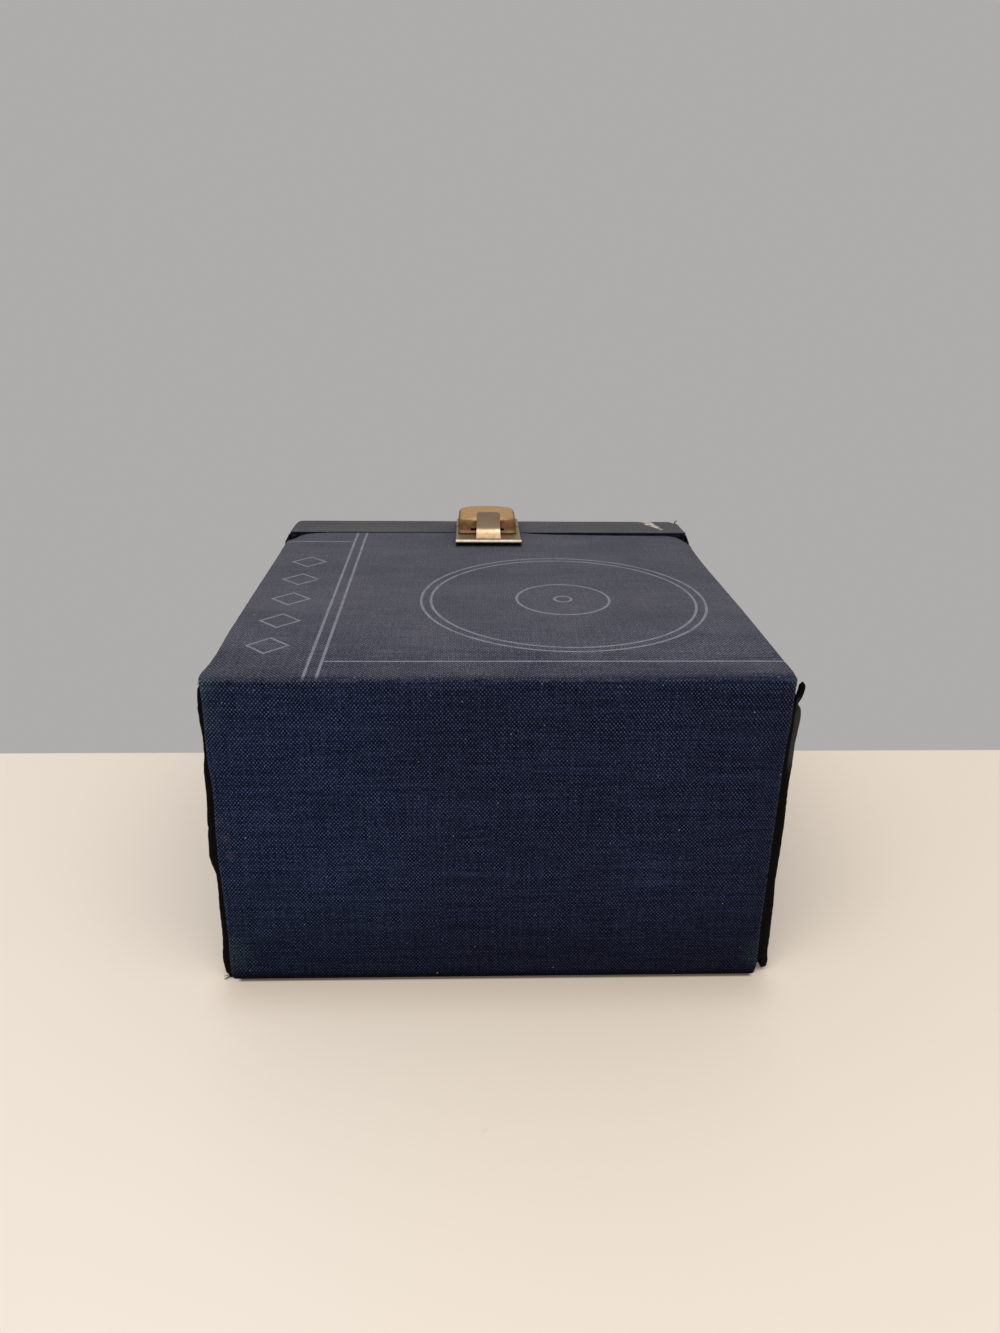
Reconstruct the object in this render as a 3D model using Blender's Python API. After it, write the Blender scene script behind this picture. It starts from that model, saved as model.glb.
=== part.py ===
"""Cloth-covered record storage box with a hinged lid and a brass hasp, lying on its back.

Metres, +Z up. +Z points out of the printed front, -Y out of the bottom of the box, +Y out of
the lid's top, and +X to the right of someone facing the front with the lid on top. The origin
is under the middle of the box, on the plane that it lies on.
"""

import math

import bmesh
import bpy
from mathutils import Matrix, Vector

# The case, over its cloth
CASE_WIDTH = 0.200
CASE_DEPTH = 0.123
CASE_LENGTH = 0.211
LID_HEIGHT = 0.0230
SEAM_GAP = 0.0008

# Sheet stock, and the gap that glued or seated pieces keep
SEAT = 0.0003
CLOTH = 0.0006
BOARD = 0.0030
LID_BOARD = 0.0024
SIDE_COVER = 0.0016
LINER = 0.0015
LINING = 0.0008
TAPE = 0.0004

# The cloth's folds, and how far the back piece turns up at each end
FOLD_RADIUS = 0.0015
CLOTH_RETURN = 0.0030
FOLD_STEPS = 5

# The black side covers stop short of the front, back and end faces
SIDE_COVER_INSET = 0.0015
SIDE_COVER_ROUND = 0.0006

# The liner stands into the lid, and the hinge tape has the back of the rim to itself
NECK_RISE = 0.010
TAPE_LEG = 0.012
TAPE_END_MARGIN = 0.006

# The two pressed plates of the clasp
PLATE_WIDTH = 0.0315
PLATE_RISE = 0.0030
PLATE_SHEET = 0.0007
PLATE_ROUND = 0.0009
BODY_PLATE_LENGTH = 0.0262
LID_PLATE_LENGTH = 0.0155
PLATE_SEAM_SETBACK = 0.0003
ROLL_RADIUS = 0.0009
ROLL_DROP = 0.0004

# The hood of the hasp
HOOD_WIDTH = 0.0288
HOOD_LENGTH = 0.0258
HOOD_HEIGHT = 0.0075
HOOD_SHEET = 0.0008
HOOD_ROUND = 0.0022
HOOD_DRAFT = 0.0005
HOOD_FACE_FROM_SEAM = 0.0153
SLOT_WIDTH = 0.0174
SLOT_HEIGHT = 0.0016
SLOT_ABOVE_FOOT = 0.0013

# The hasp's hinge
PIN_RADIUS = 0.0008
PIN_CLEARANCE = 0.00012
PIN_OVERHANG = 0.0003
KNUCKLE_RADIUS = 0.0015
KNUCKLE_BEHIND_HOOD = 0.0025
HOOD_KNUCKLE_WIDTH = 0.0140
PLATE_KNUCKLE_WIDTH = 0.0060
ROUND_SIDES = 24

# The sprung tongue in front of the hood
TONGUE_WIDTH = 0.0114
TONGUE_SHEET = 0.0008
TONGUE_FOOT = 0.0034
TONGUE_SWEEP = 0.0044
TONGUE_TIP_ABOVE_HOOD = 0.0027
TONGUE_TIP_ROUND = 0.0022
TONGUE_STAND_OFF = 0.0009
LUG_WIDTH = 0.0090
LUG_GAP = 0.0003

# Tubular rivets
RIVET_SHANK_RADIUS = 0.0011
RIVET_HEAD_RADIUS = 0.0021
RIVET_HEAD_HEIGHT = 0.0005
RIVET_TAIL_RADIUS = 0.0017
RIVET_TAIL = 0.0004
RIVET_FROM_PLATE_SIDE = 0.00675
RIVET_FROM_SEAM = 0.0060
BOSS_WALL = 0.0008

# Worked out from the sizes above
BOTTOM_Y = -CASE_LENGTH / 2
TOP_Y = CASE_LENGTH / 2
SEAM_Y = TOP_Y - LID_HEIGHT
BODY_RIM_Y = SEAM_Y - SEAM_GAP / 2
LID_RIM_Y = SEAM_Y + SEAM_GAP / 2
HALF_WIDTH = CASE_WIDTH / 2
SKIN = CLOTH + SEAT
BOARD_EASE = FOLD_RADIUS - SKIN

HINGE = Vector((0, SEAM_Y, 0))
PLATE_TOP_Z = CASE_DEPTH + PLATE_RISE
HOOD_FOOT_Z = PLATE_TOP_Z + SEAT
HOOD_TOP_Z = HOOD_FOOT_Z + HOOD_HEIGHT
HOOD_FACE_Y = SEAM_Y - HOOD_FACE_FROM_SEAM
HOOD_BACK_Y = HOOD_FACE_Y + HOOD_LENGTH
PIN = Vector((0, HOOD_BACK_Y + KNUCKLE_BEHIND_HOOD, PLATE_TOP_Z + SEAT + KNUCKLE_RADIUS))
RIVET_X = PLATE_WIDTH / 2 - RIVET_FROM_PLATE_SIDE
BODY_PLATE_END_Y = BODY_RIM_Y - PLATE_SEAM_SETBACK
BODY_PLATE_START_Y = BODY_PLATE_END_Y - BODY_PLATE_LENGTH
LID_PLATE_START_Y = LID_RIM_Y + PLATE_SEAM_SETBACK

TONGUE_BACK_Y = HOOD_FACE_Y - TONGUE_STAND_OFF
TONGUE_MIDDLE_Y = TONGUE_BACK_Y - TONGUE_SHEET / 2
TONGUE_FOOT_Z = PLATE_TOP_Z + SEAT + TONGUE_SHEET / 2
TONGUE_ROOT = Vector((0, TONGUE_MIDDLE_Y - TONGUE_SWEEP - TONGUE_FOOT, TONGUE_FOOT_Z))


def clear_scene():
    for obj in list(bpy.data.objects):
        bpy.data.objects.remove(obj)


def finish(name, colour, roughness, metallic=0.0):
    """A Principled material of one colour."""
    made = bpy.data.materials.new(name)
    made.use_nodes = True
    shader = made.node_tree.nodes["Principled BSDF"]
    shader.inputs["Base Color"].default_value = (*colour, 1.0)
    shader.inputs["Roughness"].default_value = roughness
    shader.inputs["Metallic"].default_value = metallic
    return made


def make_finishes():
    return {
        "cloth": finish("navy_cloth", (0.018, 0.022, 0.045), 0.85),
        "side": finish("black_leathercloth", (0.008, 0.008, 0.010), 0.55),
        "board": finish("grey_chipboard", (0.270, 0.230, 0.175), 0.90),
        "liner": finish("lining_paper", (0.520, 0.470, 0.370), 0.80),
        "tape": finish("hinge_tape", (0.030, 0.034, 0.052), 0.85),
        "brass": finish("worn_brass", (0.560, 0.370, 0.170), 0.35, 1.0),
        "rivet": finish("rivet_brass", (0.480, 0.330, 0.170), 0.40, 1.0),
    }


def carrier(name, at, parent=None):
    """An empty on a joint's axis, which carries the pieces that move with it."""
    empty = bpy.data.objects.new(name, None)
    empty.empty_display_size = 0.02
    bpy.context.scene.collection.objects.link(empty)
    empty.parent = parent
    empty.location = at - (parent.matrix_world.translation if parent else Vector())
    bpy.context.view_layer.update()
    return empty


def add(name, shape, at, on, look=None):
    """Put a bmesh, whose points are relative to `at`, in the scene under a carrier."""
    mesh = bpy.data.meshes.new(name)
    bmesh.ops.recalc_face_normals(shape, faces=shape.faces)
    shape.to_mesh(mesh)
    shape.free()
    obj = bpy.data.objects.new(name, mesh)
    bpy.context.scene.collection.objects.link(obj)
    obj.parent = on
    obj.location = Vector(at) - on.matrix_world.translation
    if look:
        mesh.materials.append(look)
    bpy.context.view_layer.update()
    return obj


def soften(obj):
    """Smooth shading on round faces, with sharp edges kept."""
    obj.data.shade_smooth()
    obj.data.set_sharp_from_angle(angle=math.radians(35))
    return obj


def cube_shape(size):
    shape = bmesh.new()
    bmesh.ops.create_cube(shape, size=1.0, matrix=Matrix.Diagonal((*size, 1.0)))
    return shape


def block(name, low, high, on, look=None):
    """A box between two corners, with its origin at its middle."""
    low, high = Vector(low), Vector(high)
    return add(name, cube_shape(high - low), (low + high) / 2, on, look)


def ease_edges(obj, width, segments=1):
    bevel = obj.modifiers.new("eased edges", "BEVEL")
    bevel.width = width
    bevel.segments = segments
    bevel.limit_method = "ANGLE"
    return obj


def arc(centre, radius, start, end, steps):
    """Points of an arc, with angles in degrees."""
    turn = [math.radians(start + (end - start) * i / steps) for i in range(steps + 1)]
    return [(centre[0] + radius * math.cos(a), centre[1] + radius * math.sin(a)) for a in turn]


def prism_x(outline, low, high):
    """A closed (y, z) outline extruded from x = low to x = high."""
    shape = bmesh.new()
    face = shape.faces.new([shape.verts.new((low, y, z)) for y, z in outline])
    moved = bmesh.ops.extrude_face_region(shape, geom=[face])["geom"]
    points = [item for item in moved if isinstance(item, bmesh.types.BMVert)]
    bmesh.ops.translate(shape, verts=points, vec=(high - low, 0, 0))
    return shape


def prism_y(outline, low, high):
    """A closed (x, z) outline extruded from y = low to y = high."""
    shape = prism_x(outline, low, high)
    swap = Matrix(((0, 1, 0, 0), (1, 0, 0, 0), (0, 0, 1, 0), (0, 0, 0, 1)))
    bmesh.ops.transform(shape, matrix=swap, verts=shape.verts)
    return shape


def rod(radius, length, sides=ROUND_SIDES, axis="Z"):
    shape = bmesh.new()
    bmesh.ops.create_cone(
        shape, cap_ends=True, segments=sides, radius1=radius, radius2=radius, depth=length
    )
    if axis == "X":
        bmesh.ops.rotate(shape, matrix=Matrix.Rotation(math.pi / 2, 3, "Y"), verts=shape.verts)
    return shape


def helper(obj):
    """Keep a cutter or a joined piece out of the part."""
    obj.hide_render = True
    obj.display_type = "WIRE"
    return obj


def combine(obj, other, operation):
    boolean = obj.modifiers.new(f"{operation.lower()} {other.name}", "BOOLEAN")
    boolean.operation = operation
    boolean.object = helper(other)
    return obj


def cover_outline(corner_y, rim_y, corner_z, into, end_w):
    """Cloth from the rim, over the fold at one corner, to `end_w` along the end face.

    u runs from the end face into the box and w from the front or back face into it.
    """
    along = 1 if rim_y > corner_y else -1
    rim_u = abs(rim_y - corner_y)
    middle = (FOLD_RADIUS, FOLD_RADIUS)
    outer = arc(middle, FOLD_RADIUS, 270, 180, FOLD_STEPS)
    inner = arc(middle, FOLD_RADIUS - CLOTH, 180, 270, FOLD_STEPS)
    path = [(rim_u, 0), *outer, (0, end_w), (CLOTH, end_w), *inner, (rim_u, CLOTH)]
    return [(corner_y + along * u, corner_z + into * w) for u, w in path]


def cloth_cover(name, corner_y, rim_y, corner_z, into, end_w, on, look):
    outline = cover_outline(corner_y, rim_y, corner_z, into, end_w)
    anchor = Vector((0, corner_y, corner_z))
    local = [(y - anchor.y, z - anchor.z) for y, z in outline]
    return soften(add(name, prism_x(local, -HALF_WIDTH, HALF_WIDTH), anchor, on, look))


def side_covers(prefix, low_y, high_y, on, look):
    """The black panels on the left and right, a cloth's width short of each face."""
    low_x = HALF_WIDTH + SEAT
    for side, sign in (("left", -1), ("right", 1)):
        ends = sorted((sign * low_x, sign * (low_x + SIDE_COVER)))
        panel = block(
            f"{prefix}{side}_side_cover",
            (ends[0], low_y, SIDE_COVER_INSET),
            (ends[1], high_y, CASE_DEPTH - SIDE_COVER_INSET),
            on,
            look,
        )
        ease_edges(panel, SIDE_COVER_ROUND, segments=2)


def box_boards(prefix, thickness, end_y, rim_y, end_name, on, look):
    """Five boards of a tray open at rim_y, closed by the end board at end_y.

    The front and back boards run the full width, the side boards fit between them, and the
    end board fits between all four.
    """
    low_y, high_y = sorted((end_y, rim_y))
    inner_z = SKIN + thickness
    made = {}
    for name, low_z in (("back", SKIN), ("front", CASE_DEPTH - inner_z)):
        made[name] = block(
            f"{prefix}{name}_board",
            (-HALF_WIDTH, low_y, low_z),
            (HALF_WIDTH, high_y, low_z + thickness),
            on,
            look,
        )
    between = inner_z + SEAT
    for name, low_x in (("left", -HALF_WIDTH), ("right", HALF_WIDTH - thickness)):
        made[name] = block(
            f"{prefix}{name}_board",
            (low_x, low_y, between),
            (low_x + thickness, high_y, CASE_DEPTH - between),
            on,
            look,
        )
    inward = thickness if rim_y > end_y else -thickness
    end_low, end_high = sorted((end_y, end_y + inward))
    half = HALF_WIDTH - thickness - SEAT
    made[end_name] = block(
        f"{prefix}{end_name}_board",
        (-half, end_low, between),
        (half, end_high, CASE_DEPTH - between),
        on,
        look,
    )
    for board in made.values():
        ease_edges(board, BOARD_EASE)
    return made


def liner_walls(on, look):
    """Four liner walls inside the boards, which stand NECK_RISE into the lid at three sides."""
    low_y = BOTTOM_Y + SKIN + BOARD + SEAT
    neck_y = SEAM_Y + NECK_RISE
    outer_x = HALF_WIDTH - BOARD - SEAT
    outer_z = SKIN + BOARD + SEAT
    front_z = CASE_DEPTH - outer_z
    back_top_y = BODY_RIM_Y - SEAT - TAPE_LEG - SEAT
    block("front_liner", (-outer_x, low_y, front_z - LINER), (outer_x, neck_y, front_z), on, look)
    block("back_liner", (-outer_x, low_y, outer_z), (outer_x, back_top_y, outer_z + LINER), on, look)
    low_z, high_z = outer_z + LINER + SEAT, front_z - LINER - SEAT
    for name, low_x in (("left_liner", -outer_x), ("right_liner", outer_x - LINER)):
        block(name, (low_x, low_y, low_z), (low_x + LINER, neck_y, high_z), on, look)
    half = outer_x - LINER - SEAT
    block("base_lining", (-half, low_y, low_z), (half, low_y + LINING, high_z), on, look)


def hinge_tape(case, lid, look):
    """The inside hinge tape, one strip on the real box, in two legs that part at the fold."""
    half = HALF_WIDTH - LID_BOARD - TAPE_END_MARGIN
    body_z = SKIN + BOARD + SEAT
    lid_z = SKIN + LID_BOARD + SEAT
    body_end, lid_start = BODY_RIM_Y - SEAT, LID_RIM_Y + SEAT
    block(
        "body_hinge_tape",
        (-half, body_end - TAPE_LEG, body_z),
        (half, body_end, body_z + TAPE),
        case,
        look,
    )
    block(
        "lid_hinge_tape",
        (-half, lid_start, lid_z),
        (half, lid_start + TAPE_LEG, lid_z + TAPE),
        lid,
        look,
    )


def lid_lining(lid, look):
    half = HALF_WIDTH - LID_BOARD - 2 * SEAT
    low_z = SKIN + LID_BOARD + 2 * SEAT
    high_y = TOP_Y - SKIN - LID_BOARD - SEAT
    block(
        "lid_top_lining",
        (-half, high_y - LINING, low_z),
        (half, high_y, CASE_DEPTH - low_z),
        lid,
        look,
    )


def rivet_holes(x, y, board_inner_z, layers):
    """Cut one rivet's hole through the layers, and the recess for its tail in the board."""
    deep = 2 * BOARD
    top_z = PLATE_TOP_Z + deep
    bottom_z = board_inner_z - deep
    radius = RIVET_SHANK_RADIUS + SEAT
    middle = Vector((x, y, (top_z + bottom_z) / 2))
    hole = rod(radius, top_z - bottom_z)
    tag = f"{layers[0].name}_{'left' if x < 0 else 'right'}"
    cutter = add(f"{tag}_hole_cutter", hole, middle, layers[0].parent)
    for layer in layers:
        combine(layer, cutter, "DIFFERENCE")
    recess = rod(RIVET_TAIL_RADIUS + SEAT, 2 * (RIVET_TAIL + SEAT))
    recess_at = Vector((x, y, board_inner_z))
    combine(layers[-1], add(f"{tag}_recess_cutter", recess, recess_at, layers[0].parent), "DIFFERENCE")


def rivet(name, x, y, board_inner_z, on, look):
    """A turned rivet: domed head on the plate, shank, and a rolled tail in the board's recess."""
    head_low = PLATE_TOP_Z + SEAT
    tail_low = board_inner_z + SEAT / 2
    shank = head_low - tail_low
    dome = arc((0, 0), 1.0, 0, 90, 4)
    profile = [(RIVET_HEAD_RADIUS * c, shank + RIVET_HEAD_HEIGHT * s) for c, s in dome]
    profile[-1] = (0, shank + RIVET_HEAD_HEIGHT)
    profile = [
        (0, 0),
        (RIVET_TAIL_RADIUS, 0),
        (RIVET_TAIL_RADIUS, RIVET_TAIL),
        (RIVET_SHANK_RADIUS, RIVET_TAIL),
        (RIVET_SHANK_RADIUS, shank),
        *profile,
    ]
    shape = bmesh.new()
    points = [shape.verts.new((r, 0, z)) for r, z in profile]
    edges = [shape.edges.new(pair) for pair in zip(points, points[1:])]
    bmesh.ops.spin(
        shape,
        geom=points + edges,
        cent=(0, 0, 0),
        axis=(0, 0, 1),
        angle=2 * math.pi,
        steps=ROUND_SIDES,
    )
    bmesh.ops.remove_doubles(shape, verts=shape.verts, dist=1e-6)
    return soften(add(name, shape, Vector((x, y, tail_low)), on, look))


def pan_outline():
    """The (x, z) section of a pressed plate: a top sheet and a flange down each side."""
    half = PLATE_WIDTH / 2
    inner = half - PLATE_SHEET
    corner = (half - PLATE_ROUND, PLATE_RISE - PLATE_ROUND)
    right = arc(corner, PLATE_ROUND, 0, 90, 4)
    left = [(-x, z) for x, z in right[::-1]]
    under = PLATE_RISE - PLATE_SHEET
    return [
        (half, SEAT),
        *right,
        *left,
        (-half, SEAT),
        (-inner, SEAT),
        (-inner, under),
        (inner, under),
        (inner, SEAT),
    ]


def pan(name, start_y, end_y, on, look):
    """A pressed plate on the front cloth, with a boss round each of its two rivets."""
    at = Vector((0, start_y, CASE_DEPTH))
    return add(name, prism_y(pan_outline(), 0, end_y - start_y), at, on, look)


def rivet_bosses(plate, y, on):
    low_z = CASE_DEPTH + SEAT
    high_z = PLATE_TOP_Z - PLATE_SHEET / 2
    for side, x in (("left", -RIVET_X), ("right", RIVET_X)):
        boss = rod(RIVET_SHANK_RADIUS + SEAT + BOSS_WALL, high_z - low_z)
        at = Vector((x, y, (low_z + high_z) / 2))
        combine(plate, add(f"{plate.name}_{side}_boss", boss, at, on), "UNION")


def body_clasp_plate(case, look):
    """The plate on the body, whose near edge is rolled."""
    plate = pan("body_clasp_plate", BODY_PLATE_START_Y, BODY_PLATE_END_Y, case, look)
    at = Vector((0, BODY_PLATE_START_Y, PLATE_TOP_Z - ROLL_DROP))
    roll = rod(ROLL_RADIUS, PLATE_WIDTH, sides=16, axis="X")
    combine(plate, add("rolled_edge", roll, at, case), "UNION")
    return plate


def lid_clasp_plate(lid, look):
    """The plate on the lid, with a flange at its far end and two knuckles for the pin."""
    end_y = LID_PLATE_START_Y + LID_PLATE_LENGTH
    plate = pan("lid_clasp_plate", LID_PLATE_START_Y, end_y, lid, look)
    half = PLATE_WIDTH / 2 - PLATE_SHEET / 2
    flange = block(
        "far_flange",
        (-half, end_y - PLATE_SHEET, CASE_DEPTH + SEAT),
        (half, end_y, PLATE_TOP_Z - PLATE_ROUND),
        lid,
    )
    combine(plate, flange, "UNION")
    low = PLATE_TOP_Z - PLATE_SHEET / 2 - PIN.z
    outline = [(KNUCKLE_RADIUS, low), *arc((0, 0), KNUCKLE_RADIUS, 0, 180, 12), (-KNUCKLE_RADIUS, low)]
    start = HOOD_KNUCKLE_WIDTH / 2 + SEAT
    for side, sign in (("left", -1), ("right", 1)):
        ends = sorted((sign * start, sign * (start + PLATE_KNUCKLE_WIDTH)))
        knuckle = add(f"{side}_plate_knuckle", prism_x(outline, *ends), PIN, lid)
        combine(plate, knuckle, "UNION")
    bore = rod(PIN_RADIUS + PIN_CLEARANCE, PLATE_WIDTH, axis="X")
    return combine(plate, add("plate_pin_bore", bore, PIN, lid), "DIFFERENCE")


def hinge_pin(lid, look):
    length = HOOD_KNUCKLE_WIDTH + 2 * (SEAT + PLATE_KNUCKLE_WIDTH + PIN_OVERHANG)
    return soften(add("hasp_pin", rod(PIN_RADIUS, length, axis="X"), PIN, lid, look))


def hood_block(inset, deeper):
    """The hood's outside, or its inside when inset by its sheet, rounded at the top and sides.

    Its top is narrower than its foot by the draft, and its points are relative to the middle
    of its foot.
    """
    width, length = HOOD_WIDTH - 2 * inset, HOOD_LENGTH - 2 * inset
    height = HOOD_HEIGHT - inset + deeper
    shape = cube_shape((width, length, height))
    bmesh.ops.translate(shape, verts=shape.verts, vec=(0, 0, height / 2 - deeper))
    for point in shape.verts:
        if point.co.z > 0:
            point.co.x -= math.copysign(HOOD_DRAFT, point.co.x)
    rounded = [e for e in shape.edges if max(v.co.z for v in e.verts) > 0]
    bmesh.ops.bevel(
        shape, geom=rounded, offset=HOOD_ROUND - inset, segments=4, profile=0.5, affect="EDGES"
    )
    return shape


def hasp_hood(hasp, look):
    """The hinged hood: a domed shell with a slot in its near face and one knuckle behind."""
    foot = Vector((0, HOOD_FACE_Y + HOOD_LENGTH / 2, HOOD_FOOT_Z))
    hood = add("hasp_hood", hood_block(0.0, 0.0), foot, hasp, look)
    combine(hood, add("hood_hollow", hood_block(HOOD_SHEET, HOOD_SHEET), foot, hasp), "DIFFERENCE")
    web = -KNUCKLE_BEHIND_HOOD - HOOD_SHEET / 2
    outline = [
        (web, -KNUCKLE_RADIUS),
        *arc((0, 0), KNUCKLE_RADIUS, -90, 90, 12),
        (web, KNUCKLE_RADIUS),
    ]
    half = HOOD_KNUCKLE_WIDTH / 2
    combine(hood, add("hood_knuckle", prism_x(outline, -half, half), PIN, hasp), "UNION")
    bore = rod(PIN_RADIUS + PIN_CLEARANCE, 2 * HOOD_KNUCKLE_WIDTH, axis="X")
    combine(hood, add("hood_pin_bore", bore, PIN, hasp), "DIFFERENCE")
    slot_z = HOOD_FOOT_Z + SLOT_ABOVE_FOOT
    slot = block(
        "hood_slot",
        (-SLOT_WIDTH / 2, HOOD_FACE_Y - HOOD_SHEET, slot_z),
        (SLOT_WIDTH / 2, HOOD_FACE_Y + 2 * HOOD_SHEET, slot_z + SLOT_HEIGHT),
        hasp,
    )
    return soften(combine(hood, slot, "DIFFERENCE"))


def tongue_shape():
    """The spring relative to its root: foot, sweep and upright, with rounded tip corners."""
    half = TONGUE_SHEET / 2
    bend = (TONGUE_FOOT, TONGUE_SWEEP)
    tip_y = TONGUE_FOOT + TONGUE_SWEEP
    tip_z = HOOD_TOP_Z + TONGUE_TIP_ABOVE_HOOD - TONGUE_ROOT.z
    near = arc(bend, TONGUE_SWEEP - half, -90, 0, 8)
    far = arc(bend, TONGUE_SWEEP + half, 0, -90, 8)
    outline = [(0, half), *near, (tip_y - half, tip_z), (tip_y + half, tip_z), *far, (0, -half)]
    shape = prism_x(outline, -TONGUE_WIDTH / 2, TONGUE_WIDTH / 2)
    tip_corners = [
        edge
        for edge in shape.edges
        if all(abs(point.co.z - tip_z) < SEAT / 10 for point in edge.verts)
        and abs(edge.verts[0].co.x - edge.verts[1].co.x) < SEAT / 10
    ]
    bmesh.ops.bevel(
        shape, geom=tip_corners, offset=TONGUE_TIP_ROUND, segments=4, profile=0.5, affect="EDGES"
    )
    return shape


def tongue_middle_y(z):
    """Where the middle of the tongue's sheet stands at a height, on its sweep or above it."""
    height = min(z - TONGUE_ROOT.z, TONGUE_SWEEP)
    reach = math.sqrt(TONGUE_SWEEP**2 - (TONGUE_SWEEP - height) ** 2)
    return TONGUE_ROOT.y + TONGUE_FOOT + reach


def spring_tongue(tongue, look):
    """The sprung tongue on the body plate, with a catch lug that faces the hood's slot."""
    spring = add("spring_tongue", tongue_shape(), TONGUE_ROOT, tongue, look)
    low_z = HOOD_FOOT_Z + SLOT_ABOVE_FOOT + SEAT
    high_z = low_z + SLOT_HEIGHT - 2 * SEAT
    lug = block(
        "catch_lug",
        (-LUG_WIDTH / 2, tongue_middle_y((low_z + high_z) / 2), low_z),
        (LUG_WIDTH / 2, HOOD_FACE_Y - LUG_GAP, high_z),
        tongue,
    )
    return soften(combine(spring, lug, "UNION"))


def build():
    clear_scene()
    looks = make_finishes()
    case = carrier("case", Vector())
    lid = carrier("lid_on_hinge", HINGE, case)
    hasp = carrier("hasp_on_pin", PIN, lid)
    tongue = carrier("tongue_on_root", TONGUE_ROOT, case)

    body = box_boards("", BOARD, BOTTOM_Y + SKIN, BODY_RIM_Y, "bottom", case, looks["board"])
    top = box_boards("lid_", LID_BOARD, TOP_Y - SKIN, LID_RIM_Y, "top", lid, looks["board"])
    far_end = CASE_DEPTH - CLOTH_RETURN - SEAT
    cloth = looks["cloth"]
    front = cloth_cover("front_cloth", BOTTOM_Y, BODY_RIM_Y, CASE_DEPTH, -1, far_end, case, cloth)
    cloth_cover("back_cloth", BOTTOM_Y, BODY_RIM_Y, 0, 1, CLOTH_RETURN, case, cloth)
    lid_front = cloth_cover("lid_cloth", TOP_Y, LID_RIM_Y, CASE_DEPTH, -1, far_end, lid, cloth)
    cloth_cover("lid_back_cloth", TOP_Y, LID_RIM_Y, 0, 1, CLOTH_RETURN, lid, cloth)
    side_covers("", BOTTOM_Y + SIDE_COVER_INSET, BODY_RIM_Y, case, looks["side"])
    side_covers("lid_", LID_RIM_Y, TOP_Y - SIDE_COVER_INSET, lid, looks["side"])
    liner_walls(case, looks["liner"])
    hinge_tape(case, lid, looks["tape"])
    lid_lining(lid, looks["liner"])

    body_plate = body_clasp_plate(case, looks["brass"])
    lid_plate = lid_clasp_plate(lid, looks["brass"])
    for plate, cover, board, thickness, y, on in (
        (body_plate, front, body["front"], BOARD, BODY_RIM_Y - RIVET_FROM_SEAM, case),
        (lid_plate, lid_front, top["front"], LID_BOARD, LID_RIM_Y + RIVET_FROM_SEAM, lid),
    ):
        rivet_bosses(plate, y, on)
        inner_z = CASE_DEPTH - SKIN - thickness
        for side, x in (("left", -RIVET_X), ("right", RIVET_X)):
            rivet_holes(x, y, inner_z, (plate, cover, board))
            owner = "body" if on is case else "lid"
            rivet(f"{owner}_{side}_rivet", x, y, inner_z, on, looks["rivet"])
        soften(plate)

    hinge_pin(lid, looks["rivet"])
    hasp_hood(hasp, looks["brass"])
    spring_tongue(tongue, looks["brass"])


build()
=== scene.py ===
import functools
import math

import bmesh
import bpy
from mathutils import Euler, Matrix, Vector, noise

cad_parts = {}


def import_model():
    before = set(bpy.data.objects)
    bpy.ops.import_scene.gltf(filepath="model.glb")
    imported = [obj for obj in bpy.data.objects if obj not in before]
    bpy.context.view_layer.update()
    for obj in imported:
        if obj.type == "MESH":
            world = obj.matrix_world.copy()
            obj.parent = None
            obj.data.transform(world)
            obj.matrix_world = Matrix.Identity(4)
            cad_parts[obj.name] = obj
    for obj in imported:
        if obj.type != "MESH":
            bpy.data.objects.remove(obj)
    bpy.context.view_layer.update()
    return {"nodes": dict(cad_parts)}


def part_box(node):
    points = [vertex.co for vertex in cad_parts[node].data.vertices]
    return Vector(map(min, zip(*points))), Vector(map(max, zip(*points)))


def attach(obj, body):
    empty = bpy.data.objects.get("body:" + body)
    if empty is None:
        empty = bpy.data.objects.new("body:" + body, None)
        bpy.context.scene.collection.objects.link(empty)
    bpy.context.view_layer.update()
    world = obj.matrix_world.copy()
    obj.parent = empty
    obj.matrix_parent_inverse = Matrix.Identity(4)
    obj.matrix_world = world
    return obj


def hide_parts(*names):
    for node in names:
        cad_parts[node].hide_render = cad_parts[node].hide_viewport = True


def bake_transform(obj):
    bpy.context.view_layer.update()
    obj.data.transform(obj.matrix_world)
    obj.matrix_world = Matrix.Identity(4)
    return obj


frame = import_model()

MM = 0.001

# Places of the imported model, in metres: +Z out of the front, -Y out of the bottom, +Y out of the lid's top
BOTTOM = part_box("front_cloth")[0].y
HALF, BODY_RIM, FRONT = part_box("front_cloth")[1]
LID_RIM, TOP = (corner.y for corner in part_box("lid_cloth"))
SEAM = (BODY_RIM + LID_RIM) / 2
BOARD_LOW, BOARD_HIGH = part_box("front_board")
BODY_INNER_Z = BOARD_LOW.z
LID_INNER_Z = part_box("lid_front_board")[0].z
HOOD_LOW, HOOD_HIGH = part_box("hasp_hood")
PIN = sum(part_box("hasp_pin"), Vector()) / 2
PLATE_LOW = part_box("body_clasp_plate")[0]
TONGUE_LOW, TONGUE_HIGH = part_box("spring_tongue")

# The cover cloth as glued: its sheet, the folds at the box's edges and the turn-ins over the rims
CLOTH = 0.5 * MM
FOLD_RADIUS = 1.2 * MM
BASE_FOLD = 0.7 * MM
RIM_FOLD = 0.9 * MM
RIM_TURN = 0.2 * MM
TURN_THICKNESS = 0.2 * MM
LID_TURN_IN = 9 * MM
PATH_STEP = 3 * MM
HINGE_STRIP = 7 * MM

# Camera of the photograph
CAMERA_AT = Vector((-0.0108, -0.4101, 0.2554))
CAMERA_TURN = (67.3, -0.66, -1.69)
CAMERA_LENS = 26.97


def ease(t):
    """0 below 0, 1 above 1, and a smooth rise between."""
    t = min(max(t, 0.0), 1.0)
    return t * t * (3 - 2 * t)


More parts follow.
